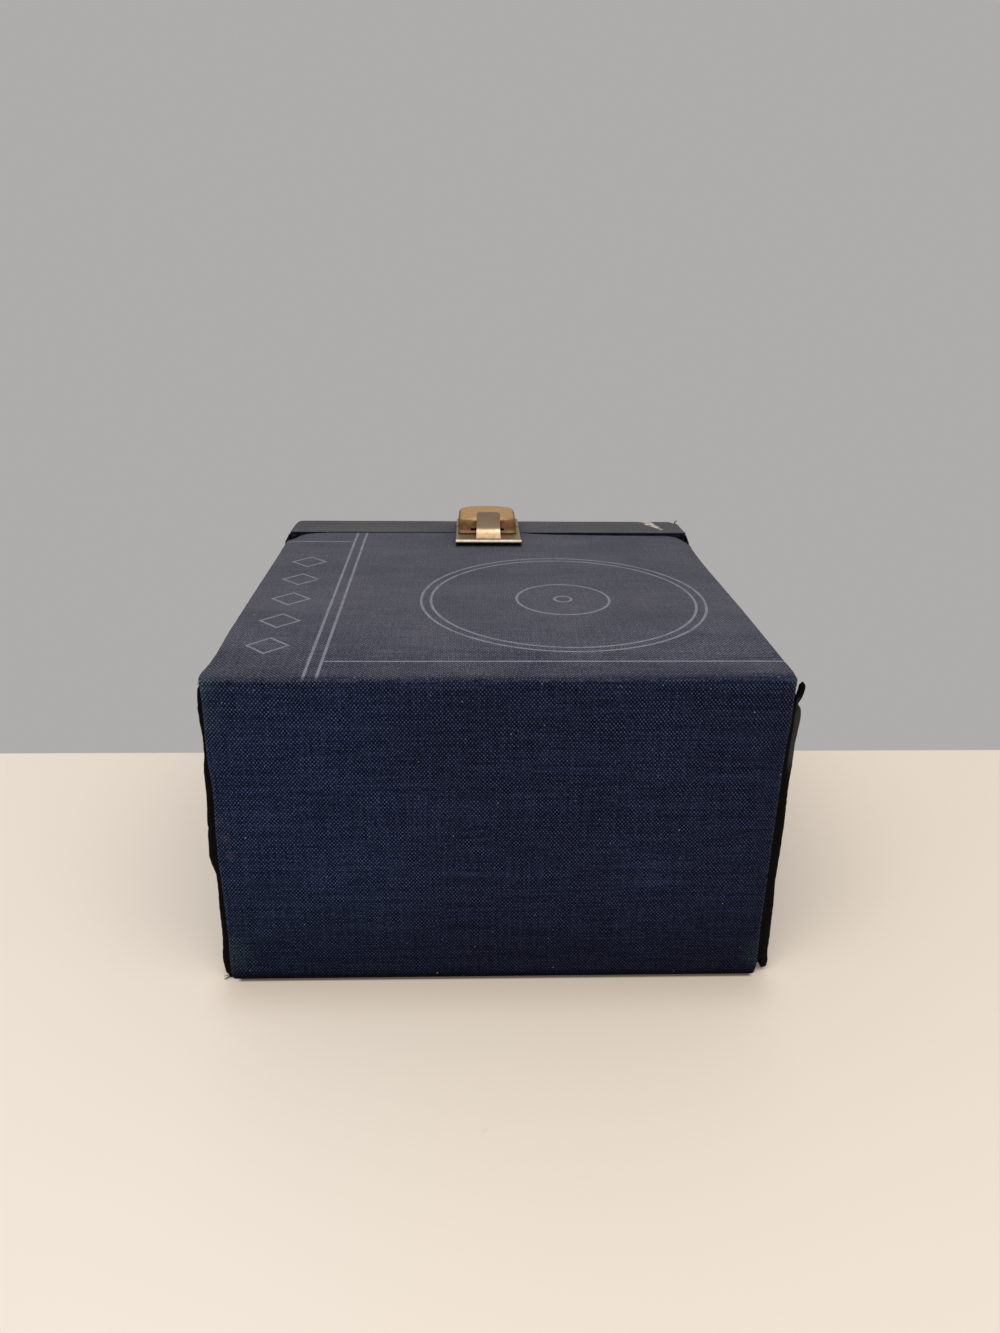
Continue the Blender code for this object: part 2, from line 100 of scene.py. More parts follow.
def bell(distance, half_width):
    """1 at the middle, falling smoothly to 0 at the half width."""
    t = min(abs(distance) / half_width, 1.0)
    return (1 - t * t) ** 2


def wander(x, y, z, size, seed=0.0):
    """Smooth noise from -1 to 1 whose bumps are about `size` across."""
    return noise.noise(Vector((x / size + seed, y / size + 2 * seed, z / size - seed)))


def along(table, at):
    """The value at a place, on straight lines between the (place, value) rows of a table."""
    rows = sorted(table)
    if at <= rows[0][0]:
        return rows[0][1]
    for (low, first), (high, second) in zip(rows, rows[1:]):
        if at <= high:
            return first + (second - first) * (at - low) / (high - low)
    return rows[-1][1]


# Meshes


def straight(start, end, step):
    """Places on a straight run, at most a step apart, without its end."""
    count = max(1, math.ceil((end - start).length / step))
    return [start.lerp(end, k / count) for k in range(count)]


def arc(centre, radius, start, turn, steps):
    """Points on an arc, from one angle and through another, in degrees."""
    angles = [math.radians(start + turn * i / steps) for i in range(steps + 1)]
    return [centre + Vector((math.cos(angle), math.sin(angle))) * radius for angle in angles]


def rounded_path(corners, step, steps=6):
    """Points of a path through (a, b, radius) corners, with arcs at the corners."""
    places = [Vector(corner[:2]) for corner in corners]
    points, start = [], places[0]
    for before, corner, after, (_, _, radius) in zip(places, places[1:], places[2:], corners[1:]):
        inward, outward = (corner - before).normalized(), (after - corner).normalized()
        turn = inward.angle_signed(outward)
        begin = corner - inward * (radius * math.tan(abs(turn) / 2))
        centre = begin + Vector((-inward.y, inward.x)) * radius * (-1 if turn > 0 else 1)
        spoke = begin - centre
        bend = []
        for i in range(steps + 1):
            cos, sin = math.cos(-turn * i / steps), math.sin(-turn * i / steps)
            bend.append(centre + Vector((spoke.x * cos - spoke.y * sin, spoke.x * sin + spoke.y * cos)))
        points += straight(start, bend[0], step) + bend[:-1]
        start = bend[-1]
    return points + straight(start, places[-1], step) + [places[-1]]


def stations(low, high, step, edge=(0.25, 0.7, 1.4, 2.6, 4.2)):
    """Places from low to high, closer together near both ends."""
    near = [0.0] + [gap * MM for gap in edge]
    start, end = low + near[-1], high - near[-1]
    count = max(1, math.ceil((end - start) / step))
    middle = [start + (end - start) * i / count for i in range(count + 1)]
    return [low + gap for gap in near[:-1]] + middle + [high - gap for gap in near[-2::-1]]


def lengths_along(path):
    total = [0.0]
    for a, b in zip(path, path[1:]):
        total.append(total[-1] + (b - a).length)
    return total


def inward_normals(path, side):
    """Unit vectors square to a path, to its left for side 1 and its right for side -1."""
    runs = [(b - a).normalized() for a, b in zip(path[:1] + path[:-1], path[1:] + path[-1:])]
    return [Vector((-run.y, run.x)) * side for run in runs]


def add(name, data):
    """A new object of the scene."""
    obj = bpy.data.objects.new(name, data)
    bpy.context.scene.collection.objects.link(obj)
    return obj


def smooth_object(name, work, sharp=40, mesh=None):
    """An object of a bmesh, smooth across edges up to an angle in degrees."""
    mesh = mesh or bpy.data.meshes.new(name)
    work.to_mesh(mesh)
    work.free()
    mesh.shade_smooth()
    mesh.set_sharp_from_angle(angle=math.radians(sharp))
    return add(name, mesh)


def finish_mesh(name, points, faces, flat=None, sharp=40):
    """A smooth-shaded object; flat gives each point its (u, v) place on the uncut sheet."""
    mesh = bpy.data.meshes.new(name)
    mesh.from_pydata(points, [], faces)
    if flat:
        layer = mesh.uv_layers.new(name="sheet")
        for loop in mesh.loops:
            layer.uv[loop.index].vector = flat[loop.vertex_index]
    work = bmesh.new()
    work.from_mesh(mesh)
    bmesh.ops.recalc_face_normals(work, faces=work.faces)
    return smooth_object(name, work, sharp, mesh)


def ease_edges(obj, width, segments=3, angle=30):
    """Round an object's edges that are sharper than an angle in degrees."""
    bevel = obj.modifiers.new("eased edges", "BEVEL")
    bevel.width = width
    bevel.segments = segments
    bevel.limit_method = "ANGLE"
    bevel.angle_limit = math.radians(angle)
    return obj


def block(name, low, high, bevel=0.0, segments=2):
    """A box between two corners, with rounded edges."""
    work = bmesh.new()
    bmesh.ops.create_cube(work, size=1.0)
    low, high = Vector(low), Vector(high)
    for point in work.verts:
        point.co = (low + high) / 2 + point.co * (high - low)
    if bevel:
        bmesh.ops.bevel(
            work, geom=work.edges[:], offset=bevel, segments=segments, profile=0.5, affect="EDGES"
        )
    return smooth_object(name, work)


def tube_faces(rows, wide):
    """Faces between neighbouring rings of `wide` points each."""
    rings = [(row * wide, k, (k + 1) % wide) for row in range(rows - 1) for k in range(wide)]
    return [(base + k, base + m, base + m + wide, base + k + wide) for base, k, m in rings]


def across(place, a, b):
    """A (y, z) path carried along x."""
    return Vector((place, a, b))


def lengthwise(place, a, b):
    """An (x, z) path carried along y."""
    return Vector((a, place, b))


def sweep(name, path, places, thickness, side, flat=None, shape=None, sharp=40, put=across):
    """A closed sheet: a path carried along `places`, thickened to one side of the path.

    thickness is a number or a function of the point's index, flat gives the v of each path
    point, shape moves a finished point, and put turns (place, a, b) into a point.
    """
    thick = thickness if callable(thickness) else (lambda index: thickness)
    inner = [p + n * thick(i) for i, (p, n) in enumerate(zip(path, inward_normals(path, side)))]
    ring = path + inner[::-1]
    heights = flat + flat[::-1] if flat else [p.x for p in ring]
    points, sheet = [], []
    for place in places:
        for p, v in zip(ring, heights):
            at = put(place, p.x, p.y)
            points.append(shape(at, v) if shape else at)
            sheet.append((place, v))
    wide = len(ring)
    faces = tube_faces(len(places), wide)
    for base in (0, len(points) - wide):
        for k in range(len(path) - 1):
            faces.append((base + k, base + k + 1, base + wide - 2 - k, base + wide - 1 - k))
    return finish_mesh(name, points, faces, sheet, sharp)


def cut(obj, cutter):
    """Take one object's shape out of another."""
    boolean = obj.modifiers.new("cut", "BOOLEAN")
    boolean.operation = "DIFFERENCE"
    boolean.object = cutter
    graph = bpy.context.evaluated_depsgraph_get()
    obj.data = bpy.data.meshes.new_from_object(obj.evaluated_get(graph))
    obj.modifiers.clear()
    bpy.data.objects.remove(cutter)


def wear(obj, finish):
    """Give an object one of the materials in LOOKS, and return the slot that goes with it."""
    slot, material = LOOKS[finish]
    obj.data.materials.clear()
    obj.data.materials.append(material)
    return slot


def dress(obj, body, finish, replaced=()):
    """Give a piece its material, its body and the CAD nodes that it stands for."""
    usual_slot = wear(obj, finish)
    if body:
        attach(obj, body)
    if replaced:
        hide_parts(*replaced)
    return obj


# Materials


class Field:
    """A value that varies over a surface: a node's output, whose arithmetic adds more nodes."""

    def __init__(self, nodes, socket):
        self.nodes = nodes
        self.socket = socket

    def __add__(self, other):
        return self.nodes.math("ADD", self, other)

    def __sub__(self, other):
        return self.nodes.math("SUBTRACT", self, other)

    def __mul__(self, other):
        return self.nodes.math("MULTIPLY", self, other)

    def __abs__(self):
        return self.nodes.math("ABSOLUTE", self)

    def band(self, low, high, begin=0.0, end=1.0):
        """A smooth rise from begin at low to end at high; low may be above high."""
        return self.nodes.node("MapRange", self, low, high, begin, end, interpolation_type="SMOOTHSTEP")

    def spread(self, low, high):
        """0 becomes low and 1 becomes high, on a straight line."""
        return self.nodes.node("MapRange", self, 0.0, 1.0, low, high)

    def near(self, at, half_width, soft):
        """1 within half_width of a place, falling to 0 over the soft distance outside it."""
        return abs(self - at).band(half_width + soft, half_width)


class Nodes:
    """A node tree, with short calls for the nodes that it needs."""

    def __init__(self, tree):
        self.tree = tree

    def put(self, value, socket):
        """Link a field to a socket, or set the socket's own value."""
        if isinstance(value, Field):
            self.tree.links.new(value.socket, socket)
        else:
            socket.default_value = (*value, 1.0) if socket.type == "RGBA" else value

    def node(self, kind, *values, out=0, into=None, **settings):
        """Add a node, fill its inputs in order or those named by `into`, and give back an output."""
        made = self.tree.nodes.new("ShaderNode" + kind)
        for name, value in settings.items():
            setattr(made, name, value)
        for value, place in zip(values, into or range(len(values))):
            self.put(value, made.inputs[place])
        return Field(self, made.outputs[out]) if made.outputs else None

    def math(self, operation, *values):
        return self.node("Math", *values, operation=operation)

    def most(self, *fields):
        """The largest of several fields at each place."""
        return functools.reduce(lambda a, b: self.math("MAXIMUM", a, b), fields)

    def mix(self, factor, a, b):
        """The colour a where the factor is 0, and b where it is 1."""
        return self.node("Mix", factor, a, b, out=2, into=(0, 6, 7), data_type="RGBA")


class Look(Nodes):
    """A material, painted in layers."""

    def __init__(self, name):
        self.material = bpy.data.materials.new(name)
        self.material.use_nodes = True
        super().__init__(self.material.node_tree)
        self.shader = self.tree.nodes["Principled BSDF"].inputs

    def places(self, uv=False):
        """Coordinates in metres, whole and by axis: in the part's own frame, or on the flat sheet."""
        whole = self.node("UVMap", uv_map="sheet") if uv else self.node("TexCoord", out="Object")
        split = self.node("SeparateXYZ", whole).socket.node
        return [whole] + [Field(self, socket) for socket in split.outputs]

    def mapped(self, vector, size, stretch=(1, 1, 1), shift=0.0):
        """A vector in units of `size` metres, or more along a stretched axis."""
        scale = [1 / (size * s) for s in stretch]
        return self.node("Mapping", vector, [shift] * 3, scale, into=("Vector", "Location", "Scale"))

    def noise(self, vector, size, detail=2.0, rough=0.5, **placing):
        """Noise from 0 to 1 whose bumps are `size` metres across."""
        at = self.mapped(vector, size, **placing)
        return self.node("TexNoise", at, 1.0, detail, rough, into=("Vector", "Scale", "Detail", "Roughness"))

    def cells(self, vector, size):
        """How far each place is from the middle of a cell of about this size."""
        at = self.mapped(vector, size)
        return self.node("TexVoronoi", at, 1.0, out="Distance", into=("Vector", "Scale"))

    def distance(self, u, v, x, y):
        """How far the flat place (u, v) is from (x, y)."""
        gap_u, gap_v = u - x, v - y
        return self.math("SQRT", gap_u * gap_u + gap_v * gap_v)

    def paint(self, mask, colour):
        """Lay a colour over those so far, where the mask is 1."""
        self.colour = self.mix(mask, self.colour, colour)

    def bump(self, *layers):
        """Chain bump nodes; each layer is (height, depth in metres)."""
        normal = []
        for height, depth in layers:
            into = ("Strength", "Distance", "Height", "Normal")
            normal = [self.node("Bump", 1.0, depth, height, *normal, into=into)]
        self.put(normal[0], self.shader["Normal"])

    def finish(self, roughness, specular=0.5, metallic=0.0):
        """The material, with its painted colour."""
        sockets = ("Base Color", "Roughness", "Specular IOR Level", "Metallic")
        for value, name in zip((self.colour, roughness, specular, metallic), sockets):
            self.put(value, self.shader[name])
        return self.material


NAVY_DARK = (0.0008, 0.0012, 0.0055)
NAVY_THREAD = (0.0540, 0.0690, 0.1490)
COOL_DARK = (0.0008, 0.0016, 0.0070)
COOL_THREAD = (0.0555, 0.0790, 0.1680)
FADED_SHEEN_DARK = (0.0345, 0.0355, 0.0490)
FADED_SHEEN_THREAD = (0.2550, 0.2530, 0.2950)
DUSTY = (0.1030, 0.1010, 0.1140)
LID_DUST = (0.1030, 0.1010, 0.0890)
TEAL_DARK = (0.0120, 0.0280, 0.0300)
TEAL_THREAD = (0.1300, 0.2000, 0.2000)
SPECK = (0.3200, 0.3350, 0.3700)
PRINT = (0.2300, 0.2330, 0.2600)
TORN = (0.6600, 0.6200, 0.4700)
TORN_EDGE = (0.2400, 0.2000, 0.1050)
ROSE_DARK = (0.0180, 0.0140, 0.0260)
ROSE_THREAD = (0.1350, 0.1120, 0.1650)
DARKENING_TONE = (0.0016, 0.0016, 0.0018)
FOOT_DARKENING = 0.46
WORN_SLANT = 0.010
THREAD_PITCHES = (0.64 * MM, 0.79 * MM)
SLUB_WIDTH = 0.95 * MM
SLUB_LENGTH = 24 * MM

# The printed line drawing, a plain pattern of rings and rules in place of the real one
PRINT_LINE = 0.40 * MM
PRINT_SOFT = 0.25 * MM
RING_MIDDLE = (28 * MM, -22 * MM)
RING_RADII = (58, 54, 19, 3.5)
UPRIGHT_RULES = (-66, -61.5)
LEVEL_RULES = ((-89, -61.5, 100), (64, -100, -66))
DIAMOND_X = -83
DIAMOND_YS = (-74, -48, -22, 4, 30)
DIAMOND_SIZE = 7.5

# Worn folds of the cloth: v on the sheet, half width and soft edge
WORN_FOLDS = (
    (BOTTOM + 0.6 * MM, 0.35 * MM, 0.8 * MM), (TOP - 0.6 * MM, 0.35 * MM, 0.8 * MM),
    (BODY_RIM - 0.7 * MM, 0.3 * MM, 0.7 * MM), (LID_RIM + 0.7 * MM, 0.3 * MM, 0.7 * MM),
)

# Frayed places of the body's cover: (u, v, reach) in millimetres, strength, and tones if not teal
BODY_FRAYS = (
    (-100, -105.5, 8, 0.55), (100, -105.5, 4, 0.40), (-100, -215.5, 12, 0.26), (-100, -119.5, 9, 0.25),
    (100, -218.5, 10, 0.20), (-98, -158.5, 2.6, 0.45, ROSE_DARK, ROSE_THREAD),
    (-97, -166, 3, 0.55, ROSE_DARK, ROSE_THREAD), (-95.5, -173.5, 2.6, 0.55, ROSE_DARK, ROSE_THREAD),
)

# Torn streaks of the lid's cover: start, end and half width in millimetres, strength and colour
LID_SCUFFS = (
    ((80.3, 105.5), (85.6, 93), 0.9, 0.8, TORN_EDGE), ((83, 106.5), (84.8, 99), 1.7, 1.0, TORN),
    ((84.6, 99.5), (86.9, 93.5), 1.0, 1.0, TORN), ((87, 93.5), (88.8, 88.5), 0.6, 0.6, TORN),
)


def print_mask(look, u, v):
    """The drawing's lines, as 1 on a line and 0 off it."""
    stroke = (PRINT_LINE, PRINT_SOFT)
    from_middle = look.distance(u, v, *RING_MIDDLE)
    marks = [from_middle.near(radius * MM, *stroke) for radius in RING_RADII]
    marks += [u.near(x * MM, *stroke) for x in UPRIGHT_RULES]
    for y, low, high in LEVEL_RULES:
        stretch = u.near((low + high) / 2 * MM, (high - low) / 2 * MM, PRINT_SOFT)
        marks.append(v.near(y * MM, *stroke) * stretch)
    for y in DIAMOND_YS:
        reach = abs(u - DIAMOND_X * MM) + abs(v - y * MM)
        marks.append(reach.near(DIAMOND_SIZE * MM, PRINT_LINE * 1.4, PRINT_SOFT))
    return look.most(*marks)


def woven(look, sheet, u, v):
    """How bright each place of the weave is, from 0 to about 1, and its height."""
    wave = (look.noise(sheet, 24 * MM) - 0.5) * (1.5 * MM)
    weft_turn, warp_turn = (
        look.math("SINE", (axis + wave) * (math.pi / pitch)) for axis, pitch in zip((u, v), THREAD_PITCHES)
    )
    over = weft_turn * warp_turn
    long = SLUB_LENGTH / SLUB_WIDTH
    weft = look.noise(sheet, SLUB_WIDTH, rough=0.65, stretch=(long, 1, 1))
    warp = look.noise(sheet, SLUB_WIDTH, rough=0.65, stretch=(1, long, 1), shift=7.0)
    knots = look.noise(sheet, 1.0 * MM, rough=0.8, stretch=(1.3, 1, 1), shift=31.0)
    thread = over.band(0.0, 0.70, warp.band(0.40, 0.72, 0.03, 0.16), weft.band(0.36, 0.66, 0.50, 1.15))
    return thread * knots.band(0.36, 0.66, 0.40, 1.30), abs(over) + weft * 0.9


def cloth_look(name, front=None, rim=None, dust=0.0, powder=DUSTY, printed=False, scuffs=(), frays=()):
    """Navy book cloth: a plain weave with slubs, dust, a paler front with a painted sheen, and worn folds.

    front is the stretch of the sheet that lies on the box's front, as (low v, high v), rim is
    the middle of the turn over the rim, painted near black as shade in the seam, and dust is how much of its
    powder covers the front.
    """
    look = Look(name)
    sheet, u, v, _ = look.places(uv=True)
    tone, relief = woven(look, sheet, u, v)
    look.colour = look.mix(tone, NAVY_DARK, NAVY_THREAD)

    # The end face is bluer at its left and darker towards its foot; painted shade darkens its right
    # and a stretch about its middle, and a painted shadow runs along its foot
    on_end = v.band(BOTTOM, BOTTOM - 6 * MM)
    look.paint(u.band(-22 * MM, -62 * MM) * on_end, look.mix(tone, COOL_DARK, COOL_THREAD))
    streaks = look.noise(sheet, 4 * MM, detail=3, rough=0.6, stretch=(16, 1, 1), shift=17.0)
    look.paint(streaks.band(0.48, 0.70) * 0.07, NAVY_THREAD)
    look.paint(v.band(BOTTOM - 72 * MM, BOTTOM - FRONT) * FOOT_DARKENING, DARKENING_TONE)
    # Painted shade at the right and about the middle, and a painted shadow along the foot
    shaded = look.most(u.band(35 * MM, HALF) * 0.20, u.near(12 * MM, 22 * MM, 26 * MM) * 0.09)
    foot_shadow = v.near(BOTTOM - FRONT, 1.4 * MM, 3.2 * MM)
    look.paint(look.most(shaded * on_end, foot_shadow * 0.7), DARKENING_TONE)
    patches = look.noise(sheet, 20 * MM, detail=5, rough=0.65, stretch=(2.2, 1, 1), shift=11.0)
    frayed = look.noise(sheet, 1.9 * MM, detail=4, rough=0.7, stretch=(2.5, 1, 1), shift=5.0)

    # The front is paler with fading and dust, in soft clouds, down to a ragged line at the fold;
    # the paling that grows away from the fold is also a painted sheen
    if front:
        low_v, high_v = front
        if low_v == BOTTOM:
            ragged = tone * (1.3 * MM) + frayed * (2.6 * MM) - 2.0 * MM
            worn_v = v - u * WORN_SLANT + ragged
            above_fold = worn_v.band(low_v - 0.8 * MM, low_v + 5.2 * MM)
        else:
            above_fold = v.band(low_v - 0.6 * MM, low_v + 0.9 * MM)
        on_front = above_fold * v.band(high_v + 0.5 * MM, high_v - 0.8 * MM)
        clouds = look.noise(sheet, 30 * MM, detail=4, rough=0.6, stretch=(1.5, 1, 1), shift=3.0)
        faded_with_sheen = on_front * clouds.band(0.30, 0.70, 0.62, 1.0) * v.band(BOTTOM + 35 * MM, BOTTOM, 1.0, 0.72)
        look.paint(faded_with_sheen, look.mix(tone, FADED_SHEEN_DARK, FADED_SHEEN_THREAD))
        # Dust that grows further up the front, partly a painted sheen
        far_up = v.band(BOTTOM + 15 * MM, BOTTOM + 75 * MM)
        dust_and_sheen = patches.band(0.45, 0.75, dust, dust + 0.40) + far_up * (0.40 - 0.9 * dust)
        look.paint(dust_and_sheen * on_front, powder)
        # Painted shade: the turn over the rim, down in the seam between body and lid, is darkened to near
        # black
        look.paint(v.near(rim, 1.3 * MM, 0.5 * MM) * 0.9, NAVY_DARK)

    # Wear along the folds and the cut side edges, frays, specks, the drawing and torn streaks
    worn = look.most(*(v.near(*fold) for fold in WORN_FOLDS), abs(u).near(HALF, 0.2 * MM, 0.8 * MM))
    look.paint(worn * frayed.band(0.38, 0.75) * 0.35, DUSTY)
    for x, y, reach, strength, *tones in frays:
        gap = look.distance(u, v, x * MM, y * MM) + frayed * (reach * MM)
        patch = gap.band(1.5 * reach * MM, 0.6 * reach * MM)
        look.paint(patch * strength, look.mix(tone, *(tones or (TEAL_DARK, TEAL_THREAD))))
    look.paint(look.noise(sheet, 1.1 * MM, detail=1, shift=19.0).band(0.790, 0.812), SPECK)
    if printed:
        rubbed = look.noise(sheet, 6 * MM, detail=5, rough=0.75, shift=2.0)
        look.paint(print_mask(look, u, v) * on_front * rubbed.band(0.28, 0.58, 0.40, 0.90), PRINT)
    for start, end, width, strength, colour in scuffs:
        streak = scuff_mask(u, v, frayed, Vector(start) * MM, Vector(end) * MM, width * MM)
        look.paint(streak * strength, colour)
    look.bump((look.noise(sheet, 9 * MM, detail=3), 0.10 * MM), (relief, 0.14 * MM))
    return look.finish(patches.spread(0.78, 0.95), specular=0.04)


def scuff_mask(u, v, frayed, start, end, width):
    """1 on a ragged streak from start to end, where the cloth has torn through to its backing."""
    half = (end - start).length / 2
    way = (end - start).normalized()
    gap_u, gap_v = u - start.x, v - start.y
    down = gap_u * way.x + gap_v * way.y
    aside = gap_u * way.y - gap_v * way.x + (frayed - 0.5) * (7 * MM)
    streak = down.near(half, half, 0.9 * MM) * aside.near(0.0, width, 0.7 * MM)
    return streak * frayed.band(0.62, 0.40, 0.25, 1.0)


BLACK = (0.0008, 0.0008, 0.0009)
BLACK_SCUFFED = (0.0034, 0.0034, 0.0036)
GRAIN_DARK = (0.0035, 0.0035, 0.0040)
GRAIN_LIGHT = (0.0165, 0.0165, 0.0172)
FLUFF = (0.030, 0.034, 0.030)
RUBBED_AND_LIT = (0.048, 0.050, 0.046)
BLACK_SPECK = (0.070, 0.070, 0.066)

# Height of the rubbed place on the right panel's bottom edge
RUBBED_AT = 100 * MM


def leathercloth_look():
    """Black pebbled leathercloth, rubbed grey-green where its edges fray, with painted shade near its edges
    and a painted highlight on the rubbed place of its right panel.
    """
    look = Look("black_leathercloth_finish")
    at, x, y, z = look.places()
    pebbles = look.cells(at, 0.75 * MM)
    scuffed = look.noise(at, 11 * MM, detail=5, rough=0.7, stretch=(1, 2.2, 1), shift=4.0)
    look.colour = look.mix(scuffed.band(0.55, 0.80), BLACK, BLACK_SCUFFED)
    # The grain shows on the broad sides; towards the edges and ends the cloth stays near black, a painted
    # shade
    broad_side = abs(x).band(HALF + 0.7 * MM, HALF + 1.1 * MM)
    broad_side *= y.band(BOTTOM + 4 * MM, BOTTOM + 13 * MM) * z.band(FRONT - 2 * MM, FRONT - 6 * MM)
    grain = pebbles.band(0.15, 0.65) * 0.5 + scuffed * 0.7
    look.paint(broad_side, look.mix(grain, GRAIN_DARK, GRAIN_LIGHT))
    edge = look.most(
        z.band(3.5 * MM, 1.0 * MM), z.band(FRONT - 4.0 * MM, FRONT - 1.2 * MM),
        y.band(BOTTOM + 3.5 * MM, BOTTOM + 1.0 * MM), y.band(TOP - 3.5 * MM, TOP - 1.0 * MM),
    )
    fluff = look.noise(at, 1.6 * MM, detail=4, rough=0.75, shift=8.0)
    look.paint(edge * fluff.band(0.60, 0.78) * 0.3, FLUFF)
    # Rubbed grey-green at the right panel's bottom end, which is also a painted highlight of the light its
    # rolled edge catches
    torn = scuffed - 0.5
    rubbed = (z + torn * (30 * MM)).near(RUBBED_AT, 7 * MM, 11 * MM)
    rubbed *= (y + torn * (22 * MM)).band(BOTTOM + 11 * MM, BOTTOM + 2 * MM)
    rubbed *= x.band(HALF + 0.4 * MM, HALF + 1.2 * MM)
    look.paint(rubbed * fluff.spread(0.3, 0.9), RUBBED_AND_LIT)
    look.paint(look.noise(at, 0.8 * MM, detail=1, shift=13.0).band(0.80, 0.83), BLACK_SPECK)
    look.bump((look.noise(at, 5 * MM, detail=4, rough=0.65), 0.30 * MM), (pebbles, 0.22 * MM))
    return look.finish(scuffed.spread(0.48, 0.74), specular=0.05)


def chipboard_look():
    """Grey pulp board with fibres, under black leathercloth where it reaches the box's sides."""
    look = Look("chipboard_finish")
    at, x, _, _ = look.places()
    fibres = look.noise(at, 0.5 * MM, detail=4, rough=0.7, stretch=(4, 2, 1))
    flecks = look.noise(at, 1.4 * MM, shift=6.0)
    blotches = look.noise(at, 25 * MM, detail=4, shift=2.0)
    look.colour = look.mix(fibres, (0.150, 0.125, 0.092), (0.330, 0.285, 0.215))
    look.paint(flecks.band(0.66, 0.74) * 0.7, (0.075, 0.068, 0.060))
    look.paint(blotches.band(0.45, 0.75) * 0.35, (0.210, 0.165, 0.110))
    covered = abs(x).band(HALF - 3.6 * MM, HALF - 3.1 * MM)
    look.paint(covered, look.mix(flecks, BLACK, (0.0040, 0.0040, 0.0042)))
    look.bump((fibres, 0.18 * MM))
    return look.finish(fibres.spread(0.82, 0.97), specular=covered.spread(0.5, 0.05))


def paper_look():
    """Aged lining paper: warm off-white with foxing, rubbed marks and a browned edge."""
    look = Look("lining_paper_finish")
    at, _, y, _ = look.places()
    fibres = look.noise(at, 0.6 * MM, detail=4, rough=0.65, stretch=(1, 3, 1))
    tone = look.noise(at, 45 * MM, detail=4, rough=0.6)
    spots = look.noise(at, 2.6 * MM, detail=3, rough=0.6, shift=21.0)
    rubbed = look.noise(at, 7 * MM, detail=5, rough=0.75, stretch=(1, 5, 1), shift=9.0)
    look.colour = look.mix(tone, (0.600, 0.545, 0.420), (0.480, 0.420, 0.300))
    look.paint(spots.band(0.66, 0.78) * 0.75, (0.270, 0.170, 0.085))
    look.paint(rubbed.band(0.56, 0.70) * 0.45, (0.330, 0.290, 0.225))
    browned = y.band(SEAM + 1 * MM, SEAM + 10 * MM) * rubbed.spread(0.25, 0.65)
    look.paint(browned, (0.360, 0.280, 0.175))
    look.bump((tone, 0.15 * MM), (fibres, 0.06 * MM))
    return look.finish(fibres.spread(0.66, 0.85))


RUST = (0.330, 0.110, 0.045)
SHADOW_LINE_COLOUR = (0.030, 0.018, 0.012)
VERDIGRIS = (0.430, 0.370, 0.120)
COPPERY = (0.560, 0.270, 0.150)
SATIN = 0.55
PALE_METAL = 0.35


def brass_look(name, bright, tarnish_and_shade, roughness, shine, dull, rust=(), painted_highlight=None, shadow_line=None):
    """Worn brass, bright towards one height and dark towards another: partly tarnished, partly painted
    reflection and shade.

    shine and dull are the two heights; scratches, pits and cloudy stains lie over all of it.
    rust holds spots as (place, reach). glow is a paler, satin stretch above some height, a painted highlight,
    as (axis, from, to, colour, height), and grime is a painted shadow along a dark line, as (height, half of
    its width).
    """
    look = Look(name)
    at, *axes = look.places()
    height = axes[2]
    clouds = look.noise(at, 6 * MM, detail=5, rough=0.65)
    fine = look.noise(at, 1.1 * MM, detail=4, rough=0.7, shift=3.0)
    # Brighter towards shine and darker towards dull: partly tarnished, partly painted reflection and shade of
    # how light falls on the piece
    stain_and_shade = (height.band(shine, dull) * 0.75 + clouds * 0.8).band(0.40, 1.00)
    look.colour = look.mix(stain_and_shade, bright, tarnish_and_shade)
    look.paint(fine.band(0.58, 0.75) * 0.30, tarnish_and_shade)
    rough = stain_and_shade.spread(roughness, roughness + 0.20) + fine * 0.10
    metal = 1.0
    if painted_highlight:
        axis, begin, end, pale, floor = painted_highlight
        # A painted highlight: a paler, satin stretch
        there = axes[axis].band(begin, end) * height.band(floor - 0.5 * MM, floor + 0.3 * MM)
        there *= clouds.band(0.35, 0.60, 0.55, 1.0)
        look.paint(there, pale)
        rough = there.spread(rough, SATIN)
        metal = there.spread(metal, PALE_METAL)
    tint = look.noise(at, 5 * MM, detail=3, rough=0.6, shift=27.0)
    look.paint(tint.band(0.54, 0.66) * 0.40, VERDIGRIS)
    look.paint(tint.band(0.46, 0.36) * 0.30, COPPERY)
    for spot, reach in rust:
        gap = look.node("VectorMath", at, spot, out="Value", operation="DISTANCE") + fine * reach
        look.paint(gap.band(1.6 * reach, 0.7 * reach) * 0.8, RUST)
    if shadow_line:
        # A painted shadow along a dark line
        look.paint(height.near(*shadow_line, 0.15 * MM), SHADOW_LINE_COLOUR)
    scratches = look.noise(at, 0.16 * MM, rough=0.6, stretch=(26, 3, 1), shift=5.0)
    pits = look.noise(at, 0.5 * MM, detail=1, shift=15.0).band(0.74, 0.80)
    look.bump((look.noise(at, 3.5 * MM, detail=3), 0.10 * MM), (scratches - pits, 0.010 * MM))
    return look.finish(rough, metallic=metal)


